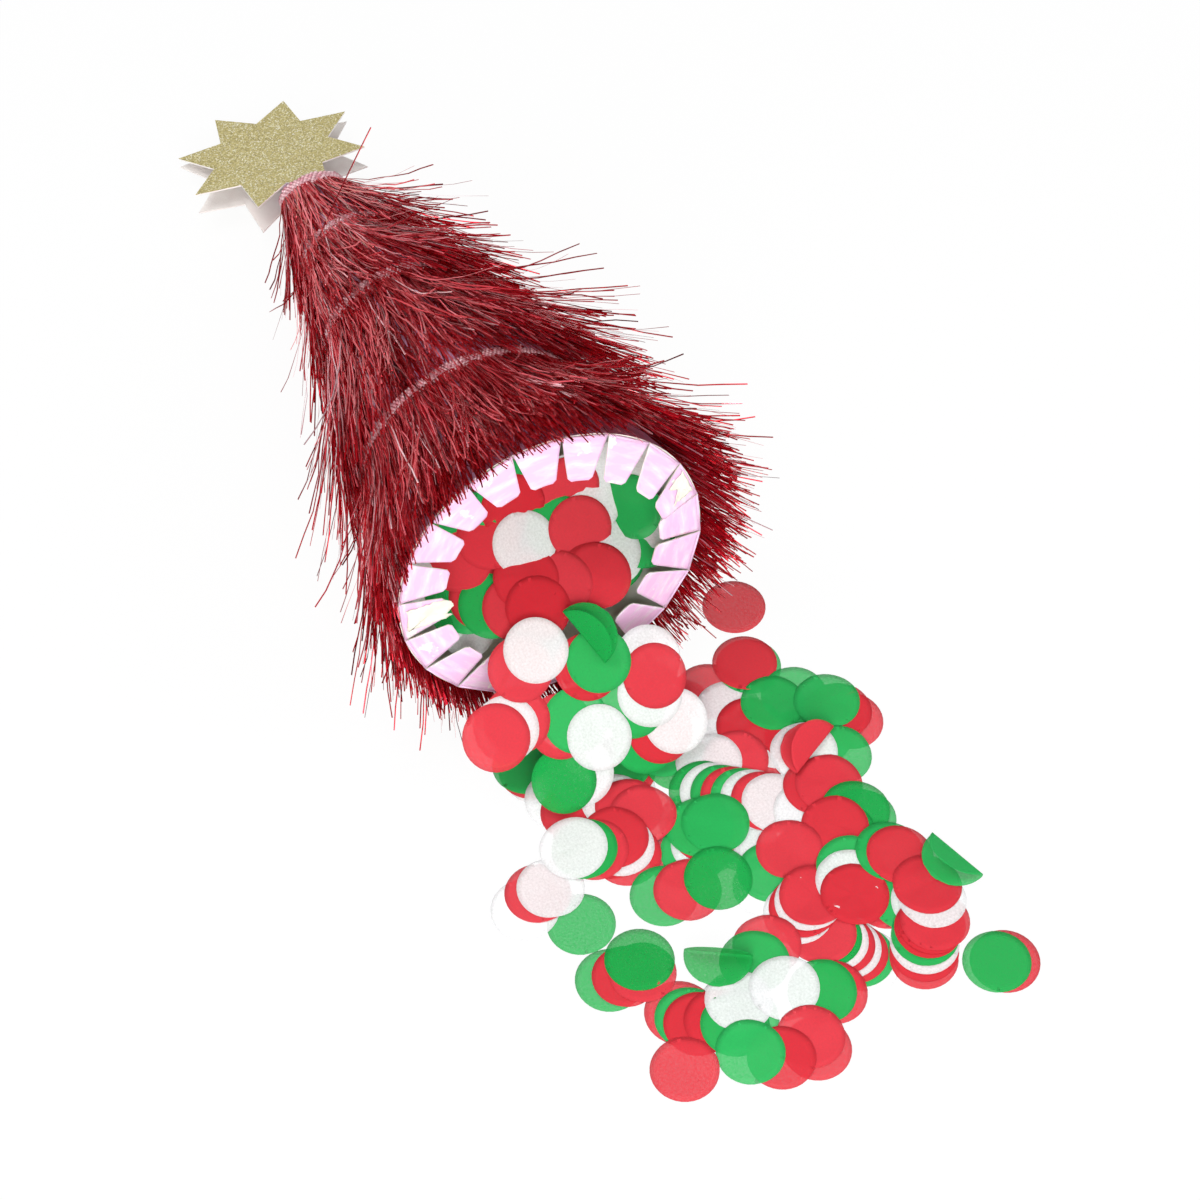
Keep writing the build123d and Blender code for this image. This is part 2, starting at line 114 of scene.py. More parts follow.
class NodeMaterial:
    """A material while its nodes are put together."""

    def __init__(self, name: str) -> None:
        """Start with a plain shader."""
        self.material = bpy.data.materials.new(name)
        self.material.use_nodes = True
        self.tree = self.material.node_tree
        self.shader = self.tree.nodes["Principled BSDF"]

    def add(self, kind: str, inputs: dict | None = None, **settings: object) -> bpy.types.Node:
        """Add a node to this material."""
        return add_node(self.tree, kind, inputs, **settings)

    def place(self) -> Socket:
        """Place on the object, in metres."""
        return self.add("ShaderNodeTexCoord").outputs["Object"]

    def flat(self, uv: str) -> Socket:
        """Place on the flat sheet, in millimetres."""
        return self.add("ShaderNodeUVMap", uv_map=uv).outputs["UV"]

    def tone(self) -> Socket:
        """Tone that each point of the mesh carries."""
        return self.add("ShaderNodeAttribute", attribute_name="tone").outputs["Fac"]

    def noise(self, place: Socket, size: float, **more: float) -> Socket:
        """Noise whose cells have that size, in the unit of the place."""
        return self.add("ShaderNodeTexNoise", {"Vector": place, "Scale": 1 / size, **more}).outputs["Fac"]

    def remap(
        self, value: Socket, source: tuple[float, float], target: tuple[float, float] = (0.0, 1.0)
    ) -> Socket:
        """Value stretched from one range to another and kept inside it."""
        ends = {"From Min": source[0], "From Max": source[1], "To Min": target[0], "To Max": target[1]}
        return self.add("ShaderNodeMapRange", {"Value": value, **ends}).outputs["Result"]

    def maths(self, operation: str, *values: Socket | float) -> Socket:
        """Result of a sum on numbers."""
        return self.add("ShaderNodeMath", dict(enumerate(values)), operation=operation).outputs[0]

    def vectors(self, operation: str, *values: Socket | tuple) -> Socket:
        """Result of a sum on vectors."""
        return self.add("ShaderNodeVectorMath", dict(enumerate(values)), operation=operation).outputs[0]

    def mix(self, share: Socket, first: Socket | tuple, second: Socket | tuple) -> Socket:
        """Colour between two, by a share."""
        # A Mix node in its colour form takes its factor at socket 0, its colours at 6 and 7
        return self.add("ShaderNodeMix", {0: share, 6: first, 7: second}, data_type="RGBA").outputs[2]

    def bump(self, height: Socket, strength: float, depth_mm: float) -> Socket:
        """Normal that a height has roughened."""
        inputs = {"Height": height, "Strength": strength, "Distance": depth_mm * MM}
        return self.add("ShaderNodeBump", inputs).outputs["Normal"]

    def finish(self, inputs: dict) -> bpy.types.Material:
        """Set or link the shader's inputs and hand over the material."""
        feed(self.tree, self.shader, inputs)
        return self.material


@dataclass(frozen=True)
class CardFinish:
    """Coated box board: printed, gloss laminated on one side, so it has soft clear reflections."""

    name: str
    colour: str
    pale: str
    roughness: float = 0.3
    coat: float = 0.45
    coat_roughness: float = 0.12
    cloud_mm: float = 22.0
    grain_mm: float = 0.9

    def material(self) -> bpy.types.Material:
        """Make the card: a faint cloud in its print and a fine paper grain under the gloss."""
        look = NodeMaterial(self.name)
        place = look.place()
        cloud = look.noise(place, self.cloud_mm * MM)
        grain = look.noise(place, self.grain_mm * MM)
        return look.finish({
            "Base Color": ramp(look.tree, cloud, (0.35, self.colour), (0.7, self.pale)),
            "Normal": look.bump(grain, strength=0.12, depth_mm=0.3),
            "Roughness": self.roughness,
            "Coat Weight": self.coat,
            "Coat Roughness": self.coat_roughness,
        })


@dataclass(frozen=True)
class GluedCardFinish:
    """The gloss card of a glue tab: glue streaks shine on it and are paler, partly in the glue's own colour
    and partly as a painted sheen, and torn spots show the white paper.
    """

    name: str
    colour: str
    pale: str
    torn: str
    tear_mm: float = 9.0
    tear_from: tuple[float, float] = (0.62, 0.66)
    streak_mm: float = 5.0
    streak_from: tuple[float, float] = (0.46, 0.74)
    streak_stretch: tuple[float, float, float] = (0.45, 1.6, 1.0)
    roughness: tuple[float, float] = (0.34, 0.1)
    coat: float = 0.5
    coat_roughness: float = 0.08

    def material(self) -> bpy.types.Material:
        """Make the tab: torn spots and streaks are noise on the tab's own UV map, in millimetres."""
        look = NodeMaterial(self.name)
        flat = look.flat("card")
        torn = look.remap(look.noise(flat, self.tear_mm, Detail=6.0), self.tear_from)
        stretched = look.add("ShaderNodeMapping", {"Vector": flat, "Scale": self.streak_stretch}).outputs[0]
        glue_and_sheen = look.remap(look.noise(stretched, self.streak_mm, Detail=3.0), self.streak_from)
        # The paler colour on the streaks is partly the glue's own whitish colour and partly a painted sheen.
        printed = look.mix(glue_and_sheen, linear(self.colour), linear(self.pale))
        return look.finish({
            "Base Color": look.mix(torn, printed, linear(self.torn)),
            "Roughness": look.remap(glue_and_sheen, (0.0, 1.0), self.roughness),
            "Normal": look.bump(look.maths("SUBTRACT", glue_and_sheen, torn), strength=0.3, depth_mm=0.2),
            "Coat Weight": self.coat,
            "Coat Roughness": self.coat_roughness,
        })


@dataclass(frozen=True)
class PaperFinish:
    """Uncoated paper or board back: matt, slightly warm, with soft felted fibres."""

    name: str
    colour: str
    shade: str
    fibre_mm: float = 0.8
    cloud_mm: float = 7.0
    roughness: float = 0.85

    def material(self) -> bpy.types.Material:
        """Make the paper: a cloudy formation and a felted fibre bump."""
        look = NodeMaterial(self.name)
        place = look.place()
        cloud = look.noise(place, self.cloud_mm * MM, Detail=5.0)
        fibre = look.noise(place, self.fibre_mm * MM, Detail=4.0, Distortion=1.5)
        return look.finish({
            "Base Color": ramp(look.tree, cloud, (0.3, self.shade), (0.62, self.colour)),
            "Normal": look.bump(fibre, strength=0.35, depth_mm=0.4),
            "Roughness": self.roughness,
        })


@dataclass(frozen=True)
class GlitterFinish:
    """Gold glitter glued on card: flakes lie at random tilts, and a few of them carry a painted white glint
    in their colour.
    """

    name: str
    dark: str
    gold: str
    pale: str
    painted_glint: str
    flake_mm: float = 0.5
    tilt: float = 0.6
    metallic: float = 0.45
    roughness: float = 0.4

    def material(self) -> bpy.types.Material:
        """Make the glitter: each cell is a flake with its own colour and its own tilt; the palest colour is
        a painted glint.
        """
        look = NodeMaterial(self.name)
        cells = {"Vector": look.place(), "Scale": 1 / (self.flake_mm * MM)}
        flake = look.add("ShaderNodeTexVoronoi", cells).outputs["Color"]
        pick = look.add("ShaderNodeSeparateColor", {"Color": flake}).outputs["Red"]
        # The last stop is a painted white glint on a few flakes.
        stops = ((0.0, self.dark), (0.3, self.gold), (0.78, self.pale), (0.97, self.painted_glint))
        lean = look.vectors("SUBTRACT", flake, (0.5, 0.5, 0.5))
        normal = look.add("ShaderNodeNewGeometry").outputs["Normal"]
        tilted = look.vectors("MULTIPLY_ADD", lean, (self.tilt,) * 3, normal)
        return look.finish({
            "Base Color": ramp(look.tree, pick, *stops),
            "Normal": look.vectors("NORMALIZE", tilted),
            "Metallic": self.metallic,
            "Roughness": self.roughness,
        })


@dataclass(frozen=True)
class FoilFinish:
    """Dyed metallised film cut in strands: a tinted mirror whose colour runs from a maroon painted shade to
    a pink-white painted highlight.
    """

    name: str
    stops: tuple[tuple[float, str], ...]
    metallic: float = 0.8
    roughness: float = 0.2
    coat: float = 0.35
    coat_roughness: float = 0.15

    def material(self) -> bpy.types.Material:
        """Make the foil: the tone of each strand is read from its own attribute, and picks its colour
        between painted shade and painted highlight.
        """
        look = NodeMaterial(self.name)
        return look.finish({
            "Base Color": ramp(look.tree, look.tone(), *self.stops),
            "Metallic": self.metallic,
            "Roughness": self.roughness,
            "Coat Weight": self.coat,
            "Coat Roughness": self.coat_roughness,
        })


@dataclass(frozen=True)
class TissueFinish:
    """Thin dyed tissue: matt and see-through, with cloudy fibres that show where sheets overlap."""

    name: str
    colour: str
    pale: str
    cover: float
    cover_range: float = 0.09
    cloud_mm: float = 0.9
    crumple_mm: float = 9.0
    fibre_tone: float = 0.6
    roughness: float = 0.9
    specular: float = 0.1

    def material(self) -> bpy.types.Material:
        """Make the tissue: its cover varies with its fibres, on the disc's own UV map in millimetres."""
        look = NodeMaterial(self.name)
        flat = look.flat("sheet")
        fibre = look.noise(flat, self.cloud_mm, Detail=5.0, Roughness=0.65)
        shade = look.maths("MULTIPLY_ADD", fibre, self.fibre_tone, look.tone())
        crumple = look.noise(flat, self.crumple_mm, Detail=4.0)
        covers = (self.cover + self.cover_range, self.cover - self.cover_range)
        return look.finish({
            "Base Color": ramp(look.tree, shade, (0.2, self.colour), (1.0, self.pale)),
            "Alpha": look.remap(fibre, (0.3, 0.7), covers),
            "Normal": look.bump(crumple, strength=0.14, depth_mm=0.8),
            "Roughness": self.roughness,
            "Specular IOR Level": self.specular,
        })


class Tissue(Enum):
    """The dyes of the confetti, named as in the part's nodes."""

    RED = "red"
    GREEN = "green"
    WHITE = "white"


TISSUE_FINISHES = {
    Tissue.RED: TissueFinish("red_tissue", "#D42733", "#E64B56", 0.76),
    Tissue.GREEN: TissueFinish("green_tissue", "#16A547", "#3CC56C", 0.7),
    Tissue.WHITE: TissueFinish("white_tissue", "#F8F9FA", "#FEFEFE", 0.52),
}
PINK_CARD = CardFinish("pink_gloss_card", "#F0B9E4", "#F5C9EC")
TAB_CARD = GluedCardFinish("glued_pink_card", "#F3C4EB", "#FCEDFA", "#FBF8F2")
CARD_BACK = PaperFinish("cream_card_back", "#F1EFE4", "#E4E0D2")
TORN_PAPER = PaperFinish("torn_base_paper", "#F6F4E8", "#E9E5D2", fibre_mm=1.2)
STAR_BACK = PaperFinish("white_star_back", "#F6F2EE", "#EFE8E4")
GLITTER = GlitterFinish("gold_glitter", "#BCAB66", "#D8C882", "#E8DC9E", "#FFFBE4")
# The foil's stops run from a maroon painted shade through red to a pink-white painted highlight.
FOIL = FoilFinish(
    "red_foil",
    ((0.0, "#7C0815"), (0.3, "#C81226"), (0.62, "#F42238"), (0.86, "#FF5A6C"), (1.0, "#FFCAD1")),
)
# The header's stops run from the painted shade of its hollows to the painted highlight on the crowns of its
# weave.
WOVEN_FOIL = FoilFinish(
    "woven_foil_header",
    ((0.0, "#B04A5A"), (0.3, "#DC97A2"), (0.7, "#F0C6CC"), (1.0, "#FBECEE")),
    metallic=0.4,
    roughness=0.4,
)


def hinges() -> list[dict]:
    """The joints of the tabs' creases, in order round the mouth."""
    return [joint for joint in frame["joints"] if joint["type"] == "hinge"]


def stand_for(piece: bpy.types.Object, body: str, node: str) -> None:
    """Tie a piece to the body it rides on, and hide the node it replaces."""
    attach(piece, body)
    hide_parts(node)


def unit(vectors: np.ndarray) -> np.ndarray:
    """Scale vectors on the last axis to length one."""
    return vectors / np.maximum(np.linalg.norm(vectors, axis=-1, keepdims=True), 1e-9)


def run_up(steps: np.ndarray) -> np.ndarray:
    """Running sums along each row, from zero."""
    return np.concatenate([np.zeros((len(steps), 1)), np.cumsum(steps, 1)], 1)


def band(first: np.ndarray, second: np.ndarray) -> np.ndarray:
    """Quads between two closed rows of point numbers."""
    return np.stack([first, second, np.roll(second, -1), np.roll(first, -1)], -1)


def grid_faces(rows: int, columns: int, wrap_rows: bool = False, wrap_columns: bool = False) -> np.ndarray:
    """Quads of a grid whose points are numbered row by row.

    Args:
        rows: Number of rows of points.
        columns: Number of points in a row.
        wrap_rows: Whether the last row joins the first.
        wrap_columns: Whether the last column joins the first.

    Returns:
        Point numbers of each quad.
    """
    row = np.arange(rows if wrap_rows else rows - 1)[:, None]
    column = np.arange(columns if wrap_columns else columns - 1)[None, :]
    next_row, next_column = (row + 1) % rows, (column + 1) % columns
    corners = (
        row * columns + column,
        row * columns + next_column,
        next_row * columns + next_column,
        next_row * columns + column,
    )
    return np.stack(np.broadcast_arrays(*corners), -1).reshape(-1, 4)


@dataclass
class Sheet:
    """Points and faces of a surface, gathered before they become a mesh."""

    points: list[np.ndarray] = field(default_factory=list)
    faces: list[np.ndarray] = field(default_factory=list)
    looks: list[int] = field(default_factory=list)
    smooth: list[bool] = field(default_factory=list)
    tones: list[np.ndarray] = field(default_factory=list)
    flats: list[np.ndarray] = field(default_factory=list)
    count: int = 0

    def add_points(
        self, points: np.ndarray, tone: np.ndarray | float = 0.5, flat: np.ndarray | None = None
    ) -> int:
        """Add points in millimetres.

        Args:
            points: Any shape that ends in three coordinates.
            tone: Tone of each point, or one for all.
            flat: Place of each point on the flat sheet, in millimetres.

        Returns:
            Number of the first point.
        """
        points = points.reshape(-1, 3)
        start = self.count
        self.points.append(points)
        self.tones.append(np.broadcast_to(np.asarray(tone, float).reshape(-1), (len(points),)))
        self.flats.append(np.zeros((len(points), 2)) if flat is None else flat.reshape(-1, 2))
        self.count += len(points)
        return start

    def add_faces(self, faces: np.ndarray, start: int = 0, look: int = 0, smooth: bool = True) -> None:
        """Add faces that all have as many corners, from a first point on."""
        self.faces.append(faces + start)
        self.looks.append(look)
        self.smooth.append(smooth)

    def add_slab(
        self, top: np.ndarray, low: np.ndarray, tone: float, flat: np.ndarray, back: int = 0
    ) -> None:
        """Add a thin sheet laid out in rows: two faces and the edge between them.

        Args:
            top: Points of its upper face, rows by columns.
            low: Points of its lower face.
            tone: Its tone.
            flat: Places on the flat sheet.
            back: Look of its lower face and its edge.
        """
        rows, columns = top.shape[:2]
        upper = self.add_points(top, tone, flat)
        lower = self.add_points(low, tone, flat)
        faces = grid_faces(rows, columns)
        number = np.arange(rows * columns).reshape(rows, columns)
        border = np.concatenate([number[0, :-1], number[:-1, -1], number[-1, :0:-1], number[:0:-1, 0]])
        self.add_faces(faces, upper)
        self.add_faces(faces[:, ::-1], lower, back)
        self.add_faces(band(upper + border, lower + border), 0, back, False)

    def add_rings(
        self, top: np.ndarray, low: np.ndarray, back: int = 0, smooth: bool = True, way: int = 1
    ) -> None:
        """Add a thin sheet laid out in rings from its middle to its edge.

        Args:
            top: Points of its upper face, rings by points.
            low: Points of its lower face.
            back: Look of its lower face and its edge.
            smooth: Whether its faces are shaded smooth.
            way: Minus one where the rings run the other way round.
        """
        rings, count = top.shape[:2]
        upper = self.add_points(top)
        lower = self.add_points(low)
        faces = grid_faces(rings, count, wrap_columns=True)
        ring = np.arange(count)
        edge = (rings - 1) * count + ring
        self.add_faces(faces[:, ::-way], upper, 0, smooth)
        self.add_faces(faces[:, ::way], lower, back, smooth)
        self.add_faces(ring[None, ::way], upper, 0, smooth)
        self.add_faces(ring[None, ::-way], lower, back, smooth)
        self.add_faces(band(upper + edge, lower + edge)[:, ::way], 0, back, False)

    def piece(self, name: str, finishes: list[bpy.types.Material], uv: str = "") -> bpy.types.Object:
        """Make the mesh object, with its place in its mesh.

        Args:
            name: The piece's name.
            finishes: Its materials, in the order of the looks.
            uv: Name of the UV map for the flat places, in millimetres.

        Returns:
            The object, linked into the scene.
        """
        mesh = bpy.data.meshes.new(name)
        points = np.concatenate(self.points) * MM
        counts = [len(faces) for faces in self.faces]
        sizes = np.repeat([faces.shape[1] for faces in self.faces], counts)
        corners = np.concatenate([faces.ravel() for faces in self.faces])
        mesh.vertices.add(len(points))
        mesh.vertices.foreach_set("co", points.astype(np.float32).ravel())
        mesh.loops.add(len(corners))
        mesh.loops.foreach_set("vertex_index", corners.astype(np.int32))
        mesh.polygons.add(len(sizes))
        mesh.polygons.foreach_set("loop_start", (np.cumsum(sizes) - sizes).astype(np.int32))
        mesh.polygons.foreach_set("material_index", np.repeat(self.looks, counts).astype(np.int32))
        mesh.polygons.foreach_set("use_smooth", np.repeat(self.smooth, counts))
        tone = mesh.attributes.new("tone", "FLOAT", "POINT")
        tone.data.foreach_set("value", np.concatenate(self.tones).astype(np.float32))
        if uv:
            layer = mesh.uv_layers.new(name=uv)
            layer.data.foreach_set("uv", np.concatenate(self.flats)[corners].astype(np.float32).ravel())
        for finish in finishes:
            mesh.materials.append(finish)
        mesh.update(calc_edges=True)
        made = bpy.data.objects.new(name, mesh)
        bpy.context.scene.collection.objects.link(made)
        LOG.info("%s: %d faces", name, len(sizes))
        return made


@dataclass
class ConeShape:
    """The card cone's own frame: angles run from +Y over the top, along is negative from the mouth.

    The card is round for most of its length, and its small end is pinched to an oval.
    """

    mouth_radius: float = 60.0
    top_radius: float = 9.85
    length: float = 262.0
    pinch: float = 72.0
    neck: float = 24.0
    neck_half: tuple[float, float] = (12.5, 6.59)
    end_half: tuple[float, float] = (9.2, 4.6)
    card: float = 0.5
    crease_gap: float = 0.55

    def __post_init__(self) -> None:
        """Find the mouth from the tabs' creases, which lie evenly round it."""
        self.taper = (self.mouth_radius - self.top_radius) / self.length
        self.tilt = math.atan(self.taper)
        self.axis = np.array([math.cos(self.tilt), 0.0, math.sin(self.tilt)])
        self.side = np.array([0.0, 1.0, 0.0])
        self.up = np.array([-math.sin(self.tilt), 0.0, math.cos(self.tilt)])
        creases = [joint["pos_m"] for joint in hinges()]
        self.mouth = np.mean(creases, axis=0) / MM - self.axis * self.crease_gap

    def section(self, along: np.ndarray | float) -> np.ndarray:
        """Half width and half height of the card's outside at places along the axis, on a last axis."""
        along = np.asarray(along, float)
        rings = (0.0, self.neck, self.pinch, self.length)
        round_half = self.top_radius + self.pinch * self.taper
        halves = [
            np.interp(along + self.length, rings, (end, neck, round_half, self.mouth_radius))
            for end, neck in zip(self.end_half, self.neck_half)
        ]
        return np.stack(halves, -1) + (np.maximum(along, 0) * self.taper)[..., None]

    def radial(self, angle: np.ndarray) -> np.ndarray:
        """Unit vectors straight out from the axis at angles in degrees."""
        turn = np.radians(angle)[..., None]
        return np.cos(turn) * self.side + np.sin(turn) * self.up

    def tangent(self, angle: np.ndarray) -> np.ndarray:
        """Unit vectors round the axis at angles in degrees."""
        return self.radial(np.asarray(angle) + 90)

    def downhill(self, angle: np.ndarray) -> np.ndarray:
        """Unit vectors along the card from the small end to the mouth."""
        return self.radial(angle) * math.sin(self.tilt) + self.axis * math.cos(self.tilt)

    def outward(self, angle: np.ndarray) -> np.ndarray:
        """Unit vectors square to the card, away from it."""
        return self.radial(angle) * math.cos(self.tilt) - self.axis * math.sin(self.tilt)

    def point(self, angle: np.ndarray, off: np.ndarray, along: np.ndarray) -> np.ndarray:
        """Points off the card's outside, at angles in degrees round it and places along its axis."""
        half = self.section(along) + np.asarray(off)[..., None]
        turn = np.radians(angle)
        wide, high = half[..., 0] * np.cos(turn), half[..., 1] * np.sin(turn)
        on_axis = self.mouth + np.asarray(along)[..., None] * self.axis
        return on_axis + wide[..., None] * self.side + high[..., None] * self.up


@dataclass
class CardCone:
    """The rolled card cone, gloss outside and plain inside, with its lap along the underside."""

    shape: ConeShape
    rounds: int = 180
    steps: int = 49
    lap_from: float = 261.0
    lap_to: float = 279.0
    dent: float = 0.22
    dent_turns: tuple[int, int] = (3, 5)
    dent_lengths: tuple[float, float] = (30.0, -47.0)

    def build(self) -> None:
        """Carry the wall's closed section round the axis, with slow shallow dents in the card."""
        shape = self.shape
        angle = np.linspace(0, 360, self.rounds, endpoint=False)[None, :]
        rings = np.array([0.0, shape.pinch - shape.length, shape.neck - shape.length, -shape.length])
        along = np.interp(np.linspace(0, 3, self.steps), np.arange(4), rings)[:, None]
        dents = self.dent * np.sin(np.pi * along / shape.length)
        for turns, length in zip(self.dent_turns, self.dent_lengths):
            dents = dents * np.sin(np.radians(turns * angle) + along / length)
        lap = np.where((angle > self.lap_from) & (angle < self.lap_to), shape.card, 0.0)
        sheet = Sheet()
        angles, alongs = np.broadcast_arrays(angle, along)
        outside = sheet.add_points(shape.point(angles, dents, alongs))
        inside = sheet.add_points(shape.point(angles, dents - shape.card - lap, alongs))
        wall = grid_faces(self.steps, self.rounds, wrap_columns=True)
        sheet.add_faces(wall[:, ::-1], outside, 0)
        sheet.add_faces(wall, inside, 1)
        ring = np.arange(self.rounds)
        last = ring + (self.steps - 1) * self.rounds
        sheet.add_faces(band(outside + ring, inside + ring), 0, 1, False)
        sheet.add_faces(band(inside + last, outside + last), 0, 1, False)
        cone = sheet.piece("pink_card_cone", [PINK_CARD.material(), CARD_BACK.material()])
        stand_for(cone, "cone", "cone_card")


@dataclass
class BaseTabs:
    """The glue tabs round the mouth, each bent a little and rounded at its free corners."""

    shape: ConeShape
    length: float = 17.0
    side_gap: float = 0.35
    end_gap: float = 2.1
    corner: float = 1.2
    thickness: float = 0.46
    roll: float = 0.48
    roll_points: int = 8
    roll_flat: float = 700.0
    end_curl: tuple[float, float] = (-0.6, 0.9)
    side_curl: tuple[float, float] = (-0.35, 0.35)
    flat_range: float = 400.0
    across: int = 13
    steps: int = 14
    crowding: float = 0.85
    seed: int = 4

    def build(self) -> None:
        """Make each tab on its crease, and let it ride on its own body."""
        draw = np.random.default_rng(self.seed)
        pink, cream = TAB_CARD.material(), CARD_BACK.material()
        for number, joint in enumerate(hinges()):
            tab = self.tab(number, joint, draw)
            made = tab.piece(f"glue_tab_{number + 1:02d}", [pink, cream], uv="card")
            stand_for(made, joint["child"], f"base_tab_{number + 1:02d}")

    def frame_at(self, number: int, joint: dict) -> tuple[np.ndarray, np.ndarray, np.ndarray]:
        """Directions of a tab: along its crease, to its free end, and off its gloss side."""
        angle = np.array(number * 360 / len(hinges()))
        fold = math.radians(-joint["range_deg"][0])
        straight = self.shape.downhill(angle)
        inward = -self.shape.outward(angle)
        reach = straight * math.cos(fold) + inward * math.sin(fold)
        outside = straight * math.sin(fold) - inward * math.cos(fold)
        return np.cross(reach, outside), reach, outside

    def tab(self, number: int, joint: dict, draw: np.random.Generator) -> Sheet:
        """Work out one tab: a trapezium with round free corners, curled by a square law.

        Args:
            number: Its place in the order round the mouth.
            joint: The joint of its crease.
            draw: Source of its curl.

        Returns:
            The tab's sheet: two faces, its edges and the rolled crease.
        """
        along_crease, reach, outside = self.frame_at(number, joint)
        crease = np.array(joint["pos_m"]) / MM
        half = math.tan(math.pi / len(hinges()))
        inner_radius = self.shape.mouth_radius - self.shape.card
        root = inner_radius * half - self.side_gap
        end = (inner_radius - self.length) * half - self.end_gap
        run = np.linspace(0, 1, self.steps) ** self.crowding
        out = run * self.length
        left = np.clip(self.length - out, 0, self.corner)
        rounding = self.corner - np.sqrt(np.maximum(self.corner**2 - (self.corner - left) ** 2, 0))
        width = root + (end - root) * run - rounding
        share = np.linspace(-1, 1, self.across)
        across = share[None, :] * width[:, None]
        bow = draw.uniform(*self.end_curl) * run[:, None] ** 2
        cup = draw.uniform(*self.side_curl) * run[:, None] * share[None, :] ** 2
        flat = np.stack(np.broadcast_arrays(across, out[:, None]), -1) + draw.uniform(0, self.flat_range, 2)
        middle = crease + across[..., None] * along_crease + out[:, None, None] * reach
        middle = middle + (bow + cup)[..., None] * outside
        half_card = outside * self.thickness / 2
        sheet = Sheet()
        sheet.add_slab(middle + half_card, middle - half_card, 0.5, flat, back=1)
        count = self.roll_points
        turn = np.linspace(0, 2 * np.pi, count, endpoint=False)
        section = np.cos(turn)[:, None] * reach + np.sin(turn)[:, None] * outside
        ends = crease + np.array([-root, root])[:, None] * along_crease
        roll = ends[:, None, :] + section[None] * self.roll
        first = sheet.add_points(roll, flat=np.full((2, count, 2), self.roll_flat))
        sheet.add_faces(grid_faces(2, count, wrap_columns=True), first, 0)
        sheet.add_faces(np.arange(count)[None, ::-1], first, 1, False)
        sheet.add_faces(np.arange(count)[None, :] + count, first, 1, False)
        return sheet


@dataclass
class TornScraps:
    """Scraps of the base paper on two tabs, with ragged torn edges."""

    tabs: BaseTabs
    width: float = 10.0
    length: float = 20.0
    sheet: float = 0.22
    rag: float = 0.14
    crease_gap: float = 0.6
    glue_lift: float = 0.75
    end_lift: float = 2.6
    lift_from: float = 0.5
    ripple: float = 0.12
    ripple_waves: tuple[float, float] = (1.7, 0.9)
    rings: int = 6
    edge_points: int = 90
    seed: int = 8

    def build(self) -> None:
        """Make both scraps, each riding on its tab."""
        left = ((-0.5, 0.1), (0.5, 0.05), (0.45, 0.95), (0.25, 0.85), (0.0, 1.0), (-0.4, 0.88))
        right = ((-0.5, 0.03), (0.6, 0.03), (0.5, 0.45), (0.1, 0.3), (-0.3, 0.55))
        draw = np.random.default_rng(self.seed)
        finish = TORN_PAPER.material()
        for name, outline, number in (("left", left, 10), ("right", right, 1)):
            joint = hinges()[number]
            made = self.scrap(np.array(outline), number, joint, draw)
            piece = made.piece(f"torn_paper_{name}", [finish])
            stand_for(piece, joint["child"], f"torn_scrap_{name}")

    def scrap(self, outline: np.ndarray, number: int, joint: dict, draw: np.random.Generator) -> Sheet:
        """Work out a scrap: rings from its middle to a torn edge, lifted at its free end.

        Args:
            outline: Corners as shares of the scrap's width and length.
            number: Its tab's place in the order round the mouth.
            joint: The tab's joint.
            draw: Source of the torn edge.

        Returns:
            The scrap's closed sheet.
        """
        corners = outline * (self.width, self.length)
        closed = np.vstack([corners, corners[:1]])
        run = np.concatenate([[0], np.cumsum(np.linalg.norm(np.diff(closed, axis=0), axis=1))])
        at = np.linspace(0, run[-1], self.edge_points, endpoint=False)
        edge = np.stack([np.interp(at, run, closed[:, k]) for k in (0, 1)], -1)
        ragged = draw.normal(0, self.rag, edge.shape)
        edge += ragged + np.roll(ragged, 1, 0) + np.roll(ragged, -1, 0)
        edge[:, 1] = np.maximum(edge[:, 1], self.crease_gap)
        middle = edge.mean(0)
        share = np.linspace(HUB_SHARE, 1, self.rings)[:, None, None]
        flat = middle + (edge - middle)[None] * share
        along_crease, reach, outside = self.tabs.frame_at(number, joint)
        past = np.maximum(flat[..., 1] / self.length - self.lift_from, 0)
        phase = flat * self.ripple_waves
        ripple = self.ripple * np.sin(phase[..., 0]) * np.cos(phase[..., 1])
        lift = self.glue_lift + self.end_lift * past**2 + ripple
        place = np.array(joint["pos_m"]) / MM + flat[..., :1] * along_crease + flat[..., 1:] * reach
        place = place + lift[..., None] * outside
        half_sheet = outside * self.sheet / 2
        made = Sheet()
        made.add_rings(place + half_sheet, place - half_sheet)
        return made


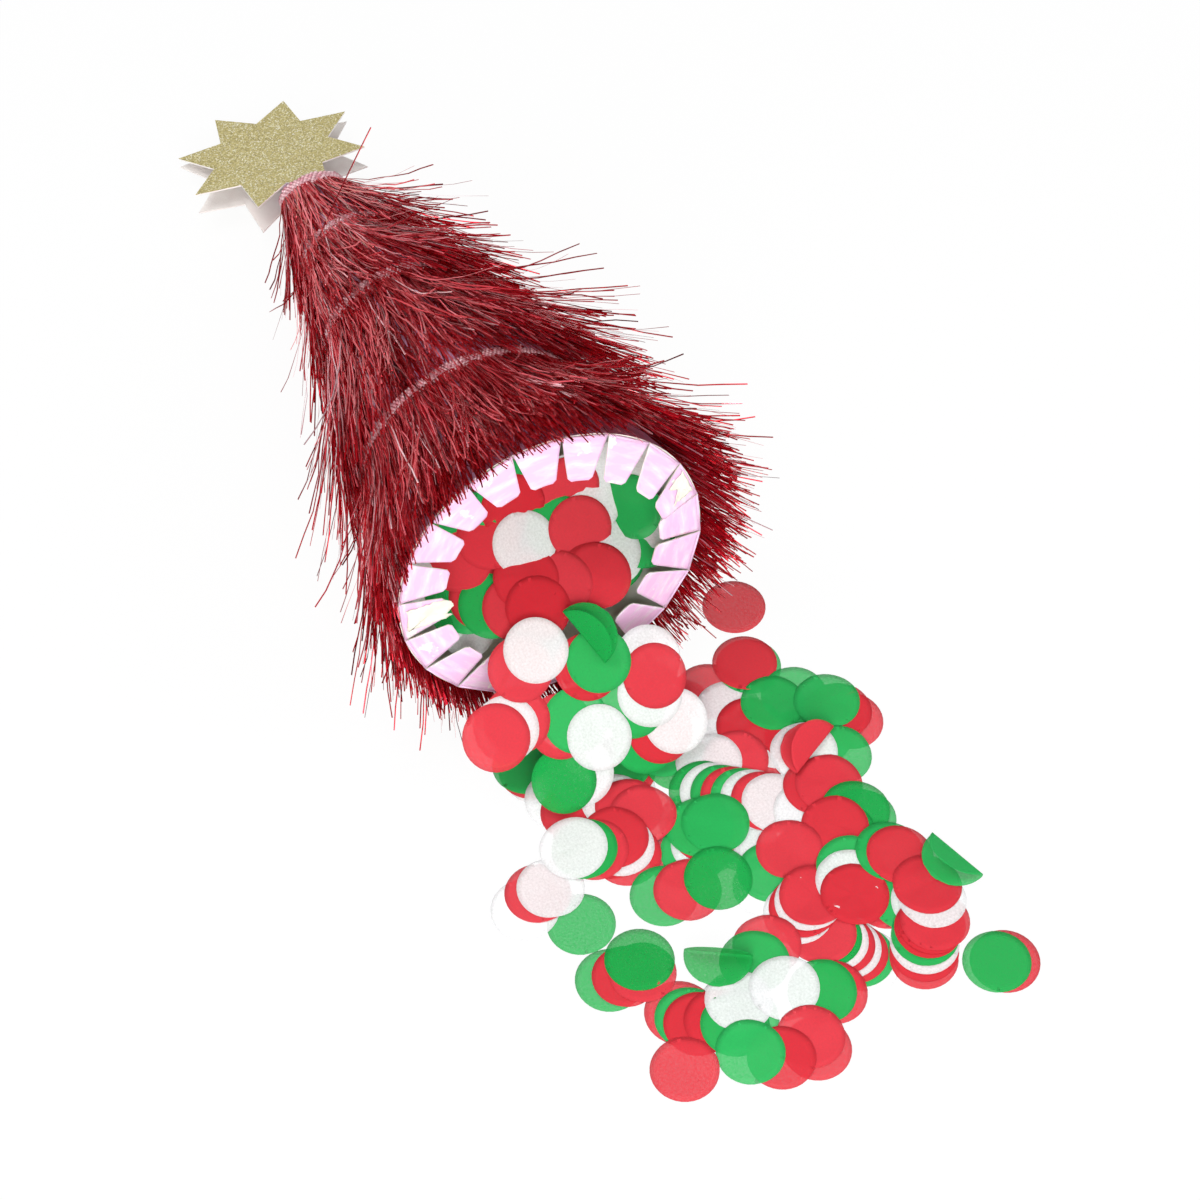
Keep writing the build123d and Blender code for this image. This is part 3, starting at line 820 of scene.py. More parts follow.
@dataclass
class Stars:
    """Two card stars, glitter on their outer faces and plain white on the faces that meet."""

    shape: ConeShape
    points: int = 8
    outer: float = 40.0
    inner: float = 25.0
    card: float = 0.6
    glue_gap: float = 0.15
    tip_gap: float = 0.3
    beyond: float = 17.0
    sideways: float = -7.0
    turn: float = 18.0
    rings: int = 6
    per_edge: int = 6

    def build(self) -> None:
        """Make the star on top of the cone's pinched end and the one under it."""
        glitter, plain = GLITTER.material(), STAR_BACK.material()
        for name, side in (("front_star", 1), ("back_star", -1)):
            made = self.star(side).piece(f"{name}_card", [glitter, plain])
            stand_for(made, "cone", name)

    def star(self, side: int) -> Sheet:
        """Work out a star: its outline drawn in to its middle in rings, sloped so that the far tips meet.

        Args:
            side: One for the cone's top, minus one for its underside.

        Returns:
            The star's closed sheet.
        """
        angle = np.array(90.0 * side)
        fall = self.shape.end_half[1] + self.glue_gap
        slope = math.atan(fall / (self.beyond + self.outer + self.tip_gap))
        radial, axis = self.shape.radial(angle), self.shape.axis
        downhill = radial * math.sin(slope) + axis * math.cos(slope)
        outward = radial * math.cos(slope) - axis * math.sin(slope)
        small_end = self.shape.point(angle, np.array(0.0), np.array(-self.shape.length))
        middle = small_end - downhill * self.beyond + outward * self.glue_gap
        middle = middle + self.shape.side * self.sideways
        across = np.cross(outward * side, downhill)
        corner = np.arange(2 * self.points + 1)
        radius = np.where(corner % 2, self.inner, self.outer)
        turn = np.radians(self.turn + corner * 180 / self.points)
        ends = np.stack([radius * np.cos(turn), radius * np.sin(turn)], -1)
        share = np.linspace(0, 1, self.per_edge, endpoint=False)[None, :, None]
        edge = (ends[:-1, None] * (1 - share) + ends[1:, None] * share).reshape(-1, 2)
        flat = edge[None] * np.linspace(HUB_SHARE, 1, self.rings)[:, None, None]
        place = middle + flat[..., :1] * downhill + flat[..., 1:] * across
        made = Sheet()
        made.add_rings(place + outward * self.card, place, back=1, smooth=False, way=side)
        return made


@dataclass(frozen=True)
class StrandSpread:
    """How the strands of a turn differ: angles in degrees, lengths in millimetres, shares from 0 to 1."""

    lock_jitter: float = 0.35
    lock_pull: float = 0.5
    stray_share: float = 0.08
    stray_flare: tuple[float, float] = (8.0, 24.0)
    stray_length: float = 6.0
    least_flare: float = 2.0
    flare_range: float = 24.0
    flare_shape: tuple[float, float] = (1.2, 2.0)
    lock_flare: float = 2.5
    flat_share: float = 0.4
    flat_flare: tuple[float, float] = (0.5, 6.0)
    side_flare: float = 9.0
    flare_limits: tuple[float, float] = (1.5, 48.0)
    lock_drift: float = 8.0
    own_drift: float = 6.0
    sweep_share: tuple[float, float] = (0.3, 1.2)
    length_range: tuple[float, float] = (-11.0, 4.0)
    root_bend: float = 0.35
    turn_wobble: float = 0.05
    swing_wobble: float = 0.045
    root_twist: float = 0.8
    more_twist: float = 1.3
    tone: tuple[float, float] = (0.48, 0.25)
    lock_light_tone: float = 0.08
    standing_shade_tone: float = 0.05


@dataclass
class FringeTurn:
    """One turn of foil fringe: a woven header with thin foil strands hanging from it.

    A parting has an angle, a strength and a span. A standing strand has an angle, a flare, a drift and
    a length.
    """

    shape: ConeShape
    name: str
    header_at: float
    slices: int
    seed: int
    header_clearance: float = 0.3
    sweep: float = 0.0
    partings: tuple[tuple[float, float, float], ...] = ()
    standing: tuple[tuple[float, float, float, float], ...] = ()
    strand_length: float = 68.0
    strands_per_mm: float = 13.0
    strand_width: float = 0.52
    strand_thickness: float = 0.1
    spread: StrandSpread = StrandSpread()
    stations: int = 9
    lock_strands: int = 16
    gravity: float = 4.0
    least_off_card: float = 0.5
    tab_reach: float = 20.0
    floor_clear: float = 0.3
    floor_layer: float = 2.2
    header_width: float = 6.0
    header_above: float = 1.5
    header_thickness: float = 1.5
    root_under: float = 1.5
    root_least: float = 0.2
    header_rows: int = 5
    row_points: int = 5
    row_round: float = 0.5
    stitch: float = 1.5
    stitch_points: int = 5
    stitch_round: float = 0.6
    stitch_tones: tuple[float, float] = (0.1, 0.9)
    dye_tone: float = 0.75
    crown_highlight_tone: float = 0.35
    dark_tone: float = 0.1
    lump_share: float = 0.55
    wander: tuple[tuple[float, int, float], ...] = ((0.35, 7, 40.0), (0.2, 17, 0.0))

    def build(self, foil: bpy.types.Material, woven: bpy.types.Material) -> None:
        """Make the woven header, and the foil strands in the same slices as the part's nodes."""
        header = self.header().piece(f"{self.name}_woven_header", [woven])
        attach(header, "cone")
        angle, points, width_ways, tone = self.strands()
        span = 360 / self.slices
        for number in range(self.slices):
            node = f"{self.name}_fringe_{number + 1}"
            mine = (angle >= number * span) & (angle < (number + 1) * span)
            made = self.ribbons(points[mine], width_ways[mine], tone[mine]).piece(f"{node}_strands", [foil])
            stand_for(made, "cone", node)

    def girth(self, along: float) -> float:
        """Mean radius of the tape's inside at a place along the cone."""
        return float(self.shape.section(along).mean()) + self.header_clearance

    def header(self) -> Sheet:
        """Carry the tape's section round the cone, with its crossing strands as rows of small bulges,
        painted lighter on their crowns as a highlight.
        """
        draw = np.random.default_rng(self.seed + HEADER_SEED)
        rows = self.header_rows
        upper = self.header_at - self.header_above
        width = self.header_width + self.header_above
        stitches = int(2 * np.pi * self.girth(upper + width / 2) / self.stitch)
        around = np.arange(stitches * self.stitch_points)
        across = np.linspace(0, 1, rows * self.row_points + 1)
        row = np.minimum((across * rows).astype(int), rows - 1)
        phase = around[:, None] / self.stitch_points + (row % 2)[None, :] * 0.5
        lump = np.abs(np.sin(np.pi * phase)) ** self.stitch_round
        lump = lump * np.abs(np.sin(np.pi * across * rows))[None, :] ** self.row_round
        cell = draw.uniform(*self.stitch_tones, (rows, stitches + 2))
        dye = cell[row[None, :], np.floor(phase).astype(int)]
        # Tone is each stitch's own dye, plus a painted highlight on the crown of each bulge, so the hollows
        # between bulges are darker as painted shade.
        tone = np.clip(dye * self.dye_tone + lump * self.crown_highlight_tone - self.dark_tone, 0, 1)
        angle = around * 360 / len(around)
        wander = sum(far * np.sin(np.radians(angle * waves + start)) for far, waves, start in self.wander)
        back = np.array([1.0, 0.0])
        along = upper + np.concatenate([across, back])[None, :] * width + wander[:, None]
        swell = 1 - self.lump_share + self.lump_share * lump
        off = self.header_clearance + self.header_thickness * swell
        off = np.concatenate([off, np.full((len(around), len(back)), self.header_clearance)], 1)
        tones = np.concatenate([tone, np.zeros((len(around), len(back)))], 1)
        angles = np.broadcast_to(angle[:, None], along.shape)
        made = Sheet()
        made.add_points(self.shape.point(angles, off, along), tone=tones)
        made.add_faces(grid_faces(len(around), along.shape[1], wrap_rows=True, wrap_columns=True))
        return made

    def strands(self) -> tuple[np.ndarray, np.ndarray, np.ndarray, np.ndarray]:
        """Work out every strand's line: it leaves along the card, flares off it, and sags at its end.

        Each strand shares its lock's flare and drift, is drawn to the lock's middle, turns away from
        the partings, stays off the card and lies on the floor where it reaches it. The standing
        strands take the foil's maroon painted shade and are straight.

        Returns:
            Angle of each strand's root, points and width directions of its stations, and its tone.
        """
        draw = np.random.default_rng(self.seed)
        spread = self.spread
        root_at = self.header_at + self.header_width - self.root_under
        girth = self.girth(root_at)
        count = int(2 * np.pi * girth * self.strands_per_mm)
        angle = np.sort(draw.uniform(0, 360, count))
        locks = max(count // self.lock_strands, 1)
        lock = (angle / 360 * locks + draw.normal(0, spread.lock_jitter, count)).astype(int) % locks
        to_lock = ((lock + 0.5) * 360 / locks - angle + 180) % 360 - 180
        stray = draw.random(count) < spread.stray_share
        flare = spread.least_flare + spread.flare_range * draw.beta(*spread.flare_shape, count)
        flare += draw.normal(0, spread.lock_flare, locks)[lock]
        lies_flat = draw.random(count) < spread.flat_share
        flare = np.where(lies_flat, draw.uniform(*spread.flat_flare, count), flare)
        flare += spread.side_flare * np.cos(np.radians(angle))
        flare += np.where(stray, draw.uniform(*spread.stray_flare, count), 0)
        flare = np.radians(np.clip(flare, *spread.flare_limits))
        drift = draw.normal(0, spread.lock_drift, locks)[lock]
        drift = np.radians(drift + draw.normal(0, spread.own_drift, count))
        swept = np.radians(self.sweep) * np.sin(np.radians(angle))
        drift -= swept * draw.uniform(*spread.sweep_share, count)
        for parting, strength, span in self.partings:
            away = (angle - parting + 180) % 360 - 180
            drift += np.radians(strength) * np.sign(away) * np.exp(-((away / span) ** 2))
        length = self.strand_length + draw.uniform(*spread.length_range, count)
        length += np.where(stray, draw.uniform(0, spread.stray_length, count), 0)
        share = np.linspace(0, 1, self.stations)
        halfway = share[None, 1:] - 0.5 / (self.stations - 1)
        bend = spread.root_bend + (1 - spread.root_bend) * halfway
        turn = flare[:, None] * bend + draw.normal(0, spread.turn_wobble, (count, self.stations - 1))
        swing = drift[:, None] * bend + draw.normal(0, spread.swing_wobble, (count, self.stations - 1))
        for number, (at, rise, aside, reach) in enumerate(self.standing):
            angle[number], length[number] = at, reach
            turn[number], swing[number] = np.radians(rise), np.radians(aside)
        step = length[:, None] / (self.stations - 1)
        along = run_up(step * np.cos(turn) * np.cos(swing))
        out = run_up(step * np.sin(turn))
        out = out + draw.uniform(self.root_least, self.header_thickness, count)[:, None]
        drawn = np.radians(to_lock)[:, None] * girth * spread.lock_pull * share[None, :] ** 2
        lateral = run_up(step * np.sin(swing)) + drawn
        root = self.shape.point(angle, np.full(count, self.header_clearance), np.full(count, root_at))
        tangent = self.shape.tangent(angle)
        points = (
            root[:, None]
            + along[..., None] * self.shape.downhill(angle)[:, None]
            + out[..., None] * self.shape.outward(angle)[:, None]
            + lateral[..., None] * tangent[:, None]
        )
        points[..., 2] -= self.gravity * share[None, :] ** 2
        points = self.off_card(points, draw)
        forward = unit(np.gradient(points, axis=1))
        across = unit(np.cross(forward, np.cross(tangent[:, None], forward)))
        normal = np.cross(forward, across)
        twist = draw.uniform(-spread.root_twist, spread.root_twist, count)[:, None]
        twist = twist + draw.normal(0, spread.more_twist, count)[:, None] * share[None, :]
        width_ways = np.cos(twist)[..., None] * across + np.sin(twist)[..., None] * normal
        # Each strand's tone picks its colour between the foil's maroon painted shade and pink-white painted
        # highlight, at random per strand and per lock.
        tone = draw.normal(*spread.tone, count) + draw.normal(0, spread.lock_light_tone, locks)[lock]
        tone[:len(self.standing)] = spread.standing_shade_tone
        return angle, points, width_ways, np.clip(tone, 0, 1)

    def off_card(self, points: np.ndarray, draw: np.random.Generator) -> np.ndarray:
        """Push the strands' stations out of the card and up to the floor, or a little above it."""
        away = points - self.shape.mouth
        along = away @ self.shape.axis
        on_axis = self.shape.mouth + along[..., None] * self.shape.axis
        least = self.shape.section(along) + self.least_off_card
        across = np.stack([away @ self.shape.side, away @ self.shape.up], -1)
        share = np.linalg.norm(across / least, axis=-1)
        grow = np.where(along < self.tab_reach, np.maximum(1 / np.maximum(share, 1e-6), 1), 1)
        points = on_axis + (points - on_axis) * grow[..., None]
        lowest = self.floor_clear + draw.uniform(0, self.floor_layer, len(points))[:, None]
        points[..., 2] = np.maximum(points[..., 2], lowest)
        return points

    def ribbons(self, points: np.ndarray, width_ways: np.ndarray, tone: np.ndarray) -> Sheet:
        """Give each line a thin four-sided foil section, closed at both ends.

        Args:
            points: Stations of the strands.
            width_ways: The way the foil's width lies at each station.
            tone: Tone of each strand.

        Returns:
            All strands as one sheet.
        """
        strands, stations = points.shape[:2]
        forward = unit(np.gradient(points, axis=1))
        wide = width_ways * self.strand_width / 2
        thick = np.cross(forward, width_ways) * self.strand_thickness / 2
        ring = np.stack([wide, thick, -wide, -thick], 2)
        made = Sheet()
        made.add_points(points[:, :, None] + ring, tone=np.repeat(tone, stations * 4))
        faces = grid_faces(stations, 4, wrap_columns=True)
        caps = np.array([[3, 2, 1, 0], [0, 1, 2, 3]]) + np.array([[0], [(stations - 1) * 4]])
        every = (np.arange(strands) * stations * 4)[:, None, None]
        for kind in (faces, caps):
            made.add_faces((kind[None] + every).reshape(-1, 4), smooth=False)
        return made


@dataclass(frozen=True)
class FoldedDisc:
    """A disc creased across: its place on its pile, the way of its crease, and its bend in degrees."""

    x: float
    y: float
    crease: float
    bend: float
    tissue: Tissue


@dataclass(frozen=True)
class HeapSlope:
    """More discs of the heap, on a slope that fills it out to the wall.

    The slope's middle is given from the mouth's middle, its tip from level and the way it faces in
    degrees, and each disc has a letter for its dye and a place down and across the slope.
    """

    middle: tuple[float, float, float]
    tip: float
    facing: float
    dyes: str
    spots: tuple[tuple[float, float], ...]


@dataclass
class Pile:
    """Discs that lie on one plane, draped over each other from the lowest up."""

    origin: np.ndarray
    x_way: np.ndarray
    y_way: np.ndarray
    normal: np.ndarray
    spots: np.ndarray
    tissues: list[Tissue]
    radius: float = 12.5
    size_range: tuple[float, float] = (0.98, 1.02)
    tissue: float = 0.05
    lift: float = 0.22
    slope: float = 0.13
    bow: float = 0.25
    curl: float = 0.45
    curl_from: float = 0.35
    curl_turn: float = 1.0
    fold_roll: float = 0.9
    fold_rows: tuple[tuple[float, float, int], ...] = (
        (-0.995, -0.1, 8),
        (-0.06, 0.3, 12),
        (0.36, 0.995, 8),
    )
    fold_columns: int = 15
    cell: float = 0.8
    press_edge: float = 0.4
    rings: int = 5
    edge_points: int = 36
    margin: float = 30.0

    def __post_init__(self) -> None:
        """Lay out the height map that the discs are draped on."""
        self.low = self.spots.min(0) - self.margin
        size = ((self.spots.max(0) + self.margin - self.low) / self.cell).astype(int) + 1
        self.heights = np.zeros(size)

    def cells(self, flat: np.ndarray) -> tuple[np.ndarray, np.ndarray]:
        """Cell numbers of places on the plane."""
        number = np.clip(((flat - self.low) / self.cell).astype(int), 0, np.array(self.heights.shape) - 1)
        return number[..., 0], number[..., 1]

    def drape(self, flat: np.ndarray, own: np.ndarray) -> np.ndarray:
        """Heights of a sheet on the map: the highest support less the slope to it, plus its own curl."""
        under = self.heights[self.cells(flat)]
        apart = np.linalg.norm(flat[:, None] - flat[None], axis=-1)
        return (under[None, :] - self.slope * apart).max(1) + own + self.lift

    def press(self, flat: np.ndarray, height: np.ndarray) -> None:
        """Raise the map under a sheet that has been laid."""
        ends = zip(flat.min(0) - self.cell, flat.max(0) + self.cell)
        axes = [np.arange(start, end, self.cell) for start, end in ends]
        steps = np.stack(np.meshgrid(*axes, indexing="ij"), -1).reshape(-1, 2)
        near = np.linalg.norm(steps[:, None] - flat[None], axis=-1).argmin(1)
        inside = np.linalg.norm(steps - flat.mean(0), axis=-1) < self.radius + self.press_edge
        np.maximum.at(self.heights, self.cells(steps[inside]), height[near[inside]])

    def place(self, flat: np.ndarray, height: np.ndarray) -> np.ndarray:
        """Points of the pile's plane in the part's frame."""
        on_plane = self.origin + flat[..., :1] * self.x_way + flat[..., 1:] * self.y_way
        return on_plane + height[..., None] * self.normal

    def lay(self, sheets: dict[Tissue, Sheet], draw: np.random.Generator) -> None:
        """Lay every flat disc from the lowest up, each in the sheet of its dye."""
        share = np.linspace(0, 1, self.rings + 1)[1:]
        turn = np.linspace(0, 2 * np.pi, self.edge_points, endpoint=False)
        ring = np.stack([np.cos(turn), np.sin(turn)], -1)
        disc = np.concatenate([[[0.0, 0.0]], (share[:, None, None] * ring[None]).reshape(-1, 2)])
        for spot, tissue in zip(self.spots, self.tissues):
            flat = spot + disc * self.radius * draw.uniform(*self.size_range)
            way = draw.uniform(0, 2 * np.pi)
            bow = (disc @ [np.cos(way), np.sin(way)]) ** 2
            way += self.curl_turn
            edge = np.maximum(disc @ [np.cos(way), np.sin(way)] - self.curl_from, 0) ** 2
            own = draw.uniform(0, self.bow) * bow + draw.exponential(self.curl) * edge
            height = self.drape(flat, own)
            self.press(flat, height)
            self.add(sheets[tissue], flat, height, disc * self.radius, draw)

    def add(
        self, sheet: Sheet, flat: np.ndarray, height: np.ndarray, cut: np.ndarray, draw: np.random.Generator
    ) -> None:
        """Add a draped disc, its middle point first: two faces and the cut edge between them."""
        tone = draw.uniform(0, TONE_RANGE)
        cut = cut + draw.uniform(0, SHEET_RANGE, 2)
        top = sheet.add_points(self.place(flat, height + self.tissue), tone, cut)
        low = sheet.add_points(self.place(flat, height), tone, cut)
        ring = 1 + np.arange(self.edge_points)
        edge = ring + (self.rings - 1) * self.edge_points
        bands = grid_faces(self.rings, self.edge_points, wrap_columns=True) + 1
        hub = np.stack([np.zeros_like(ring), ring, np.roll(ring, -1)], -1)
        sheet.add_faces(bands[:, ::-1], top)
        sheet.add_faces(hub, top)
        sheet.add_faces(bands, low)
        sheet.add_faces(hub[:, ::-1], low)
        sheet.add_faces(band(top + edge, low + edge), smooth=False)

    def fold(self, folded: FoldedDisc, at: np.ndarray, sheet: Sheet, draw: np.random.Generator) -> None:
        """Lay a creased disc on top: past its crease the sheet runs round a small roll and stands free.

        Args:
            folded: The disc.
            at: Its place on the pile's plane.
            sheet: The sheet of its dye.
            draw: Source of its tone.
        """
        roll, bend = self.fold_roll, math.radians(folded.bend)
        rows = np.concatenate([np.linspace(*span) for span in self.fold_rows])
        half = np.sqrt(1 - rows**2)
        across = np.linspace(-1, 1, self.fold_columns)[None, :] * half[:, None] * self.radius
        run = np.broadcast_to(rows[:, None] * self.radius, across.shape)
        bent = np.clip(run / roll, 0, bend)
        past = np.maximum(run - roll * bend, 0)
        ahead = np.minimum(run, 0) + roll * np.sin(bent) + past * np.cos(bend)
        rise = roll * (1 - np.cos(bent)) + past * np.sin(bend)
        turn = math.radians(folded.crease)
        ways = np.array([[np.cos(turn), np.sin(turn)], [-np.sin(turn), np.cos(turn)]])
        flat = at + np.stack([across, ahead], -1) @ ways
        height = self.heights[self.cells(flat)].max() + self.lift + rise
        off = np.stack([np.zeros_like(bent), -np.sin(bent)], -1) @ ways * self.tissue
        tone = draw.uniform(0, TONE_RANGE)
        cut = np.stack([across, run], -1) + draw.uniform(0, SHEET_RANGE, 2)
        top = self.place(flat + off, height + self.tissue * np.cos(bent))
        sheet.add_slab(top, self.place(flat, height), tone, cut)


@dataclass
class Confetti:
    """The tissue discs, read from the part's nodes and draped where these lie."""

    shape: ConeShape
    seed: int = 21
    flat_corners: int = 20
    floor_folded: tuple[FoldedDisc, ...] = (
        FoldedDisc(140, 2, 60, 110, Tissue.GREEN),
        FoldedDisc(77, 72, 300, 140, Tissue.RED),
        FoldedDisc(139, 99, 20, 150, Tissue.GREEN),
    )
    lean_folded: FoldedDisc = FoldedDisc(-24, 6, 200, 130, Tissue.GREEN)
    lean_down: float = 10.5
    heap_slopes: tuple[HeapSlope, ...] = (
        HeapSlope((-24.0, 40.0, -4.0), 58, -66, "WGGWG", ((-4, -9), (2, 4), (7, -8), (-8, 1), (4, 7))),
        HeapSlope((-24.0, -38.0, -10.0), 54, 64, "GWRWG", ((-5, 8), (1, -6), (8, 6), (-9, -8), (9, -12))),
        HeapSlope((-15.0, 27.0, -22.0), 40, -28, "RWGWR", ((-6, 8), (-4, -8), (5, 4), (-9, 14), (2, -14))),
        HeapSlope((-18.0, 36.0, -35.0), 47, -75, "WGW", ((-8, -3), (0, 0), (-3, -12))),
        HeapSlope((-15.0, -27.0, -24.0), 40, 28, "WGRW", ((-6, -8), (3, 5), (-4, 8), (6, -8))),
        HeapSlope(
            (-23.0, 0.0, -9.0), 43, 0, "RWGRWR", ((0, -27), (-3, 26), (2, 12), (-4, -14), (3, -2), (5, 20))
        ),
    )

    def build(self) -> None:
        """Drape the spilt and the heaped discs, one piece for each node."""
        draw = np.random.default_rng(self.seed)
        finishes = {tissue: TISSUE_FINISHES[tissue].material() for tissue in Tissue}
        for pile_name, body in (("spilt", "spill"), ("heaped", "cone")):
            sheets = {tissue: Sheet() for tissue in Tissue}
            for pile in self.piles(pile_name):
                pile.lay(sheets, draw)
                if pile_name == "spilt":
                    self.lay_folded(pile, sheets, draw)
            for slope in self.heap_slopes if pile_name == "heaped" else ():
                self.fill(slope).lay(sheets, draw)
            for tissue, sheet in sheets.items():
                made = sheet.piece(f"{pile_name}_{tissue.value}_discs", [finishes[tissue]], uv="sheet")
                node = f"{pile_name}_{tissue.value}_confetti"
                stand_for(made, body, node)

    def lay_folded(self, pile: Pile, sheets: dict[Tissue, Sheet], draw: np.random.Generator) -> None:
        """Lay the creased discs: those on the level pile, or the one on the slope above it."""
        if pile.normal[2] > LEVEL_NORMAL:
            start, down, folded_discs = self.shape.mouth, 0.0, self.floor_folded
        else:
            lowest = min((joint["pos_m"] for joint in hinges()), key=lambda crease: crease[2])
            start, down, folded_discs = np.array(lowest) / MM, self.lean_down, (self.lean_folded,)
        foot = np.array([start @ pile.x_way + down, start @ pile.y_way])
        for folded in folded_discs:
            pile.fold(folded, foot + (folded.x, folded.y), sheets[folded.tissue], draw)

    def fill(self, slope: HeapSlope) -> Pile:
        """Turn a slope of the heap into a pile on its plane."""
        tip, facing = math.radians(slope.tip), math.radians(slope.facing)
        ahead = np.array([math.cos(facing), math.sin(facing), 0.0])
        normal = ahead * math.sin(tip) + np.array([0.0, 0.0, math.cos(tip)])
        y_way = np.array([-math.sin(facing), math.cos(facing), 0.0])
        tissues = [next(tissue for tissue in Tissue if tissue.name[0] == dye) for dye in slope.dyes]
        origin = self.shape.mouth + np.array(slope.middle)
        return Pile(origin, np.cross(y_way, normal), y_way, normal, np.array(slope.spots, float), tissues)

    def piles(self, pile_name: str) -> list[Pile]:
        """Sort a heap's discs into piles by how far they are tipped, lowest disc first.

        Args:
            pile_name: The first word of the nodes' names.

        Returns:
            The piles, with the level one first.
        """
        found = []
        for tissue in Tissue:
            for middle, normal in self.discs(f"{pile_name}_{tissue.value}_confetti"):
                found.append((middle, normal, tissue))
        tips = np.array([round(math.degrees(math.acos(min(normal[2], 1)))) for _, normal, _ in found])
        y_way = self.shape.side
        piles = []
        for tip in sorted(set(tips.tolist())):
            mine = [found[k] for k in np.flatnonzero(tips == tip)]
            normal = unit(np.mean([way for _, way, _ in mine], axis=0))
            x_way = np.cross(y_way, normal)
            middles = np.array([middle for middle, _, _ in mine])
            level = middles @ normal
            order = np.argsort(level, kind="stable")
            spots = np.stack([middles @ x_way, middles @ y_way], -1)[order]
            tissues = [mine[k][2] for k in order]
            piles.append(Pile(normal * level.min(), x_way, y_way, normal, spots, tissues))
        return piles

    def discs(self, node: str) -> list[tuple[np.ndarray, np.ndarray]]:
        """Find the flat discs in a node: groups of corners joined by faces.

        Args:
            node: The node's name.

        Returns:
            Middle and upward normal of each flat disc, in millimetres.
        """
        mesh = frame["nodes"][node].data
        points = np.zeros(len(mesh.vertices) * 3)
        mesh.vertices.foreach_get("co", points)
        corners, same = np.unique(np.round(points.reshape(-1, 3) / MM, 3), axis=0, return_inverse=True)
        mesh.calc_loop_triangles()
        triangles = np.zeros(len(mesh.loop_triangles) * 3, np.int32)
        mesh.loop_triangles.foreach_get("vertices", triangles)
        triangles = same.reshape(-1)[triangles.reshape(-1, 3)]
        label = np.arange(len(corners))
        before = None
        while before is None or (before != label).any():
            before = label.copy()
            least = label[triangles].min(1)
            for k in range(3):
                np.minimum.at(label, triangles[:, k], least)
        found = []
        for group in np.unique(label):
            mine = corners[label == group]
            if len(mine) != self.flat_corners:
                continue
            middle = mine.mean(0)
            normal = np.linalg.svd(mine - middle)[2][2]
            found.append((middle, normal * np.sign(normal[2])))
        return found


@dataclass(frozen=True)
class Lamp:
    """A round soft lamp that points at the middle of the floor: place and size in millimetres, watts."""

    name: str
    place: tuple[float, float, float]
    size: float
    power: float


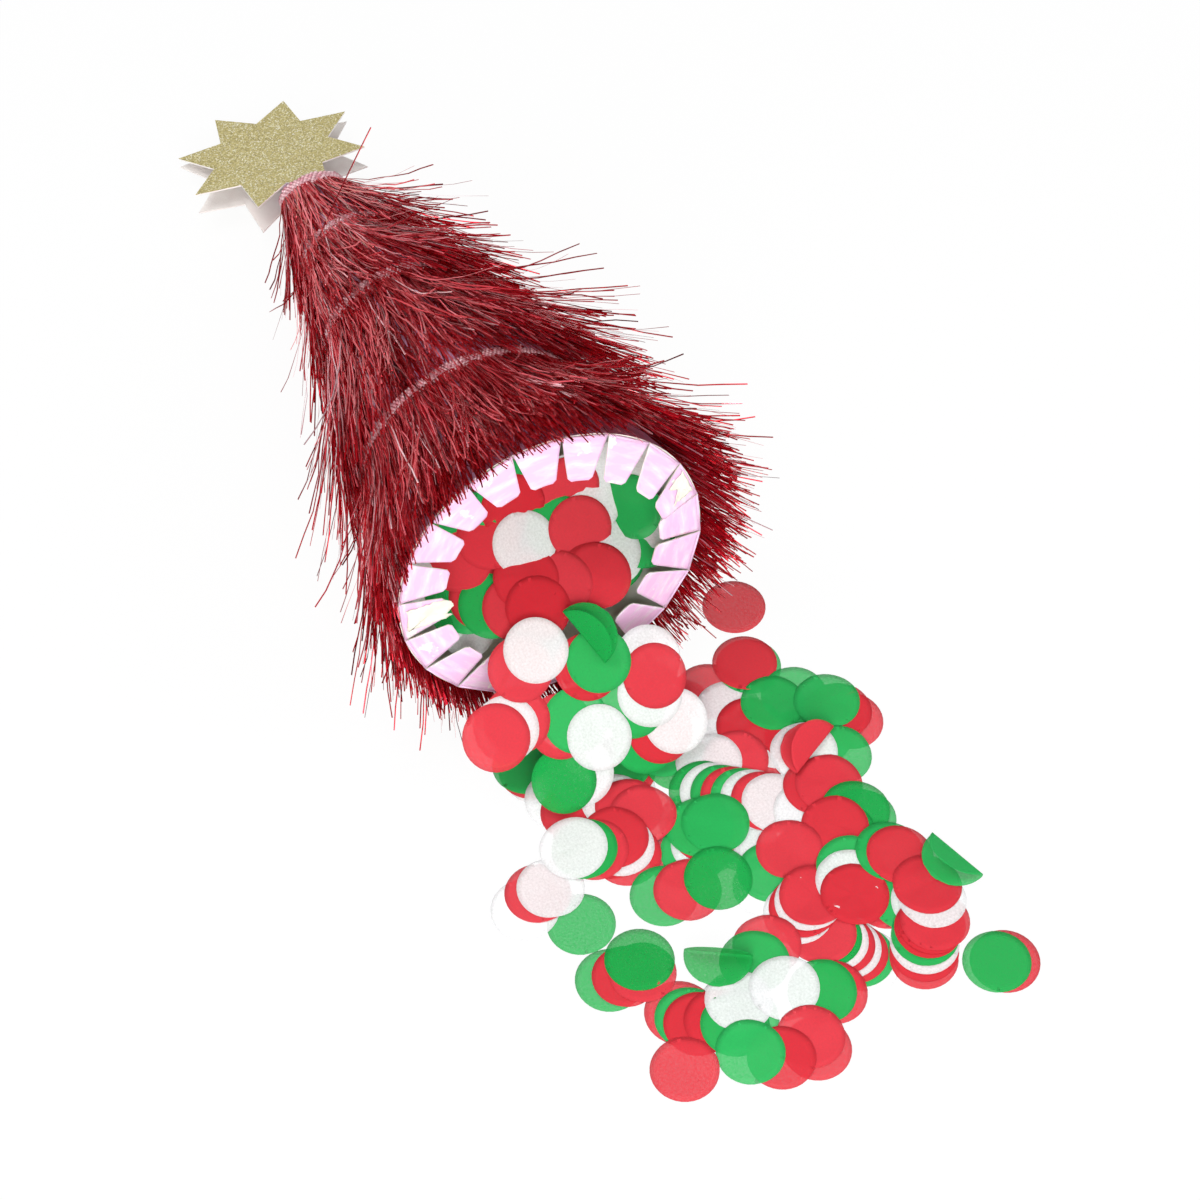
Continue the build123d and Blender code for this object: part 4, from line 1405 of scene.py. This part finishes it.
@dataclass
class Studio:
    """White floor, soft lamps and the camera at the photograph's place."""

    shape: ConeShape
    camera_off: tuple[float, float, float] = (618.5, -263.7, 1019.0)
    look: tuple[float, float, float] = (-0.51578, 0.23614, -0.82353)
    lens: float = 96.0
    sensor: float = 36.0
    floor_half: float = 15000.0
    floor_drop: float = 0.2
    floor_glow: float = 0.94
    floor_colour: str = "#F4F4F4"
    floor_roughness: float = 0.9
    sky_strength: float = 0.5
    sky_stops: tuple[tuple[float, str], ...] = ((0.0, "#8C8C8E"), (0.75, "#FFFFFF"))
    lamps: tuple[Lamp, ...] = (
        Lamp("softbox", (-350.0, -500.0, 1500.0), 900.0, 8.5),
        Lamp("front_panel", (1000.0, -330.0, 720.0), 800.0, 12.0),
        Lamp("side_panel", (500.0, 900.0, 900.0), 700.0, 3.0),
    )

    def build(self) -> None:
        """Set up the floor, the light and the camera."""
        self.floor()
        self.sky()
        for lamp in self.lamps:
            self.light(lamp)
        self.camera()
        bpy.context.scene.view_settings.view_transform = "Standard"

    def floor(self) -> None:
        """Make a white floor: bright to the eye and in reflections, with the shadow kept on it."""
        look = NodeMaterial("white_floor")
        path = look.add("ShaderNodeLightPath").outputs
        seen = look.maths("MAXIMUM", path["Is Camera Ray"], path["Is Glossy Ray"])
        seen = look.maths("MAXIMUM", seen, path["Is Transmission Ray"])
        share = look.maths("MULTIPLY", seen, self.floor_glow)
        glow = look.add("ShaderNodeEmission", {"Color": linear("#FFFFFF"), "Strength": 1.0}).outputs[0]
        mixed = look.add("ShaderNodeMixShader", {0: share, 1: look.shader.outputs[0], 2: glow})
        feed(look.tree, look.tree.nodes["Material Output"], {"Surface": mixed.outputs[0]})
        made = look.finish({"Base Color": linear(self.floor_colour), "Roughness": self.floor_roughness})
        sheet = Sheet()
        corners = np.array([[-1, -1, 0], [1, -1, 0], [1, 1, 0], [-1, 1, 0]], float) * self.floor_half
        sheet.add_points(corners - (0, 0, self.floor_drop))
        sheet.add_faces(np.array([[0, 1, 2, 3]]), smooth=False)
        sheet.piece("studio_floor", [made])

    def sky(self) -> None:
        """Put a pale sky round the scene that is darker at its foot."""
        world = bpy.data.worlds.new("studio_sky")
        bpy.context.scene.world = world
        world.use_nodes = True
        tree = world.node_tree
        way = add_node(tree, "ShaderNodeTexCoord").outputs["Generated"]
        height = add_node(tree, "ShaderNodeSeparateXYZ", {0: way}).outputs["Z"]
        colour = ramp(tree, height, *self.sky_stops)
        feed(tree, tree.nodes["Background"], {"Color": colour, "Strength": self.sky_strength})

    def light(self, lamp: Lamp) -> None:
        """Hang up a lamp."""
        light = bpy.data.lights.new(lamp.name, "AREA")
        light.shape = "DISK"
        light.size = lamp.size * MM
        light.energy = lamp.power
        made = bpy.data.objects.new(lamp.name, light)
        made.location = Vector(lamp.place) * MM
        self.aim(made, -made.location)

    def camera(self) -> None:
        """Put the camera where the photograph was taken from."""
        camera = bpy.data.cameras.new("camera")
        camera.lens = self.lens
        camera.sensor_width = self.sensor
        made = bpy.data.objects.new("camera", camera)
        mouth_floor = Vector((self.shape.mouth[0], self.shape.mouth[1], 0.0))
        made.location = (mouth_floor + Vector(self.camera_off)) * MM
        self.aim(made, Vector(self.look))
        bpy.context.scene.camera = made

    def aim(self, made: bpy.types.Object, way: Vector) -> None:
        """Turn a lamp or camera to look along a way, and link it into the scene."""
        made.rotation_mode = "QUATERNION"
        made.rotation_quaternion = way.to_track_quat("-Z", "Y")
        bpy.context.scene.collection.objects.link(made)


def main() -> None:
    """Build the cracker's pieces in order, then the studio round it."""
    logging.basicConfig(level=logging.INFO)
    shape = ConeShape()
    CardCone(shape).build()
    tabs = BaseTabs(shape)
    tabs.build()
    TornScraps(tabs).build()
    Stars(shape).build()
    foil, woven = FOIL.material(), WOVEN_FOIL.material()
    by_star = (125.0, 23.0, -90.0, 50.0)
    on_top = (103.0, 6.0, 9.0)
    for turn in (
        FringeTurn(shape, "top", -250.0, slices=4, seed=31, header_clearance=2.4, sweep=6.0),
        FringeTurn(
            shape, "upper", -202.94, slices=5, seed=34, header_clearance=0.5, sweep=22.0, standing=(by_star,)
        ),
        FringeTurn(
            shape, "middle", -148.64, slices=6, seed=32, sweep=8.0, partings=(on_top,), strand_length=87.0
        ),
        FringeTurn(shape, "bottom", -69.0, slices=8, seed=33, strand_length=71.0),
    ):
        turn.build(foil, woven)
    Confetti(shape).build()
    Studio(shape).build()


if __name__ == "__main__":
    main()
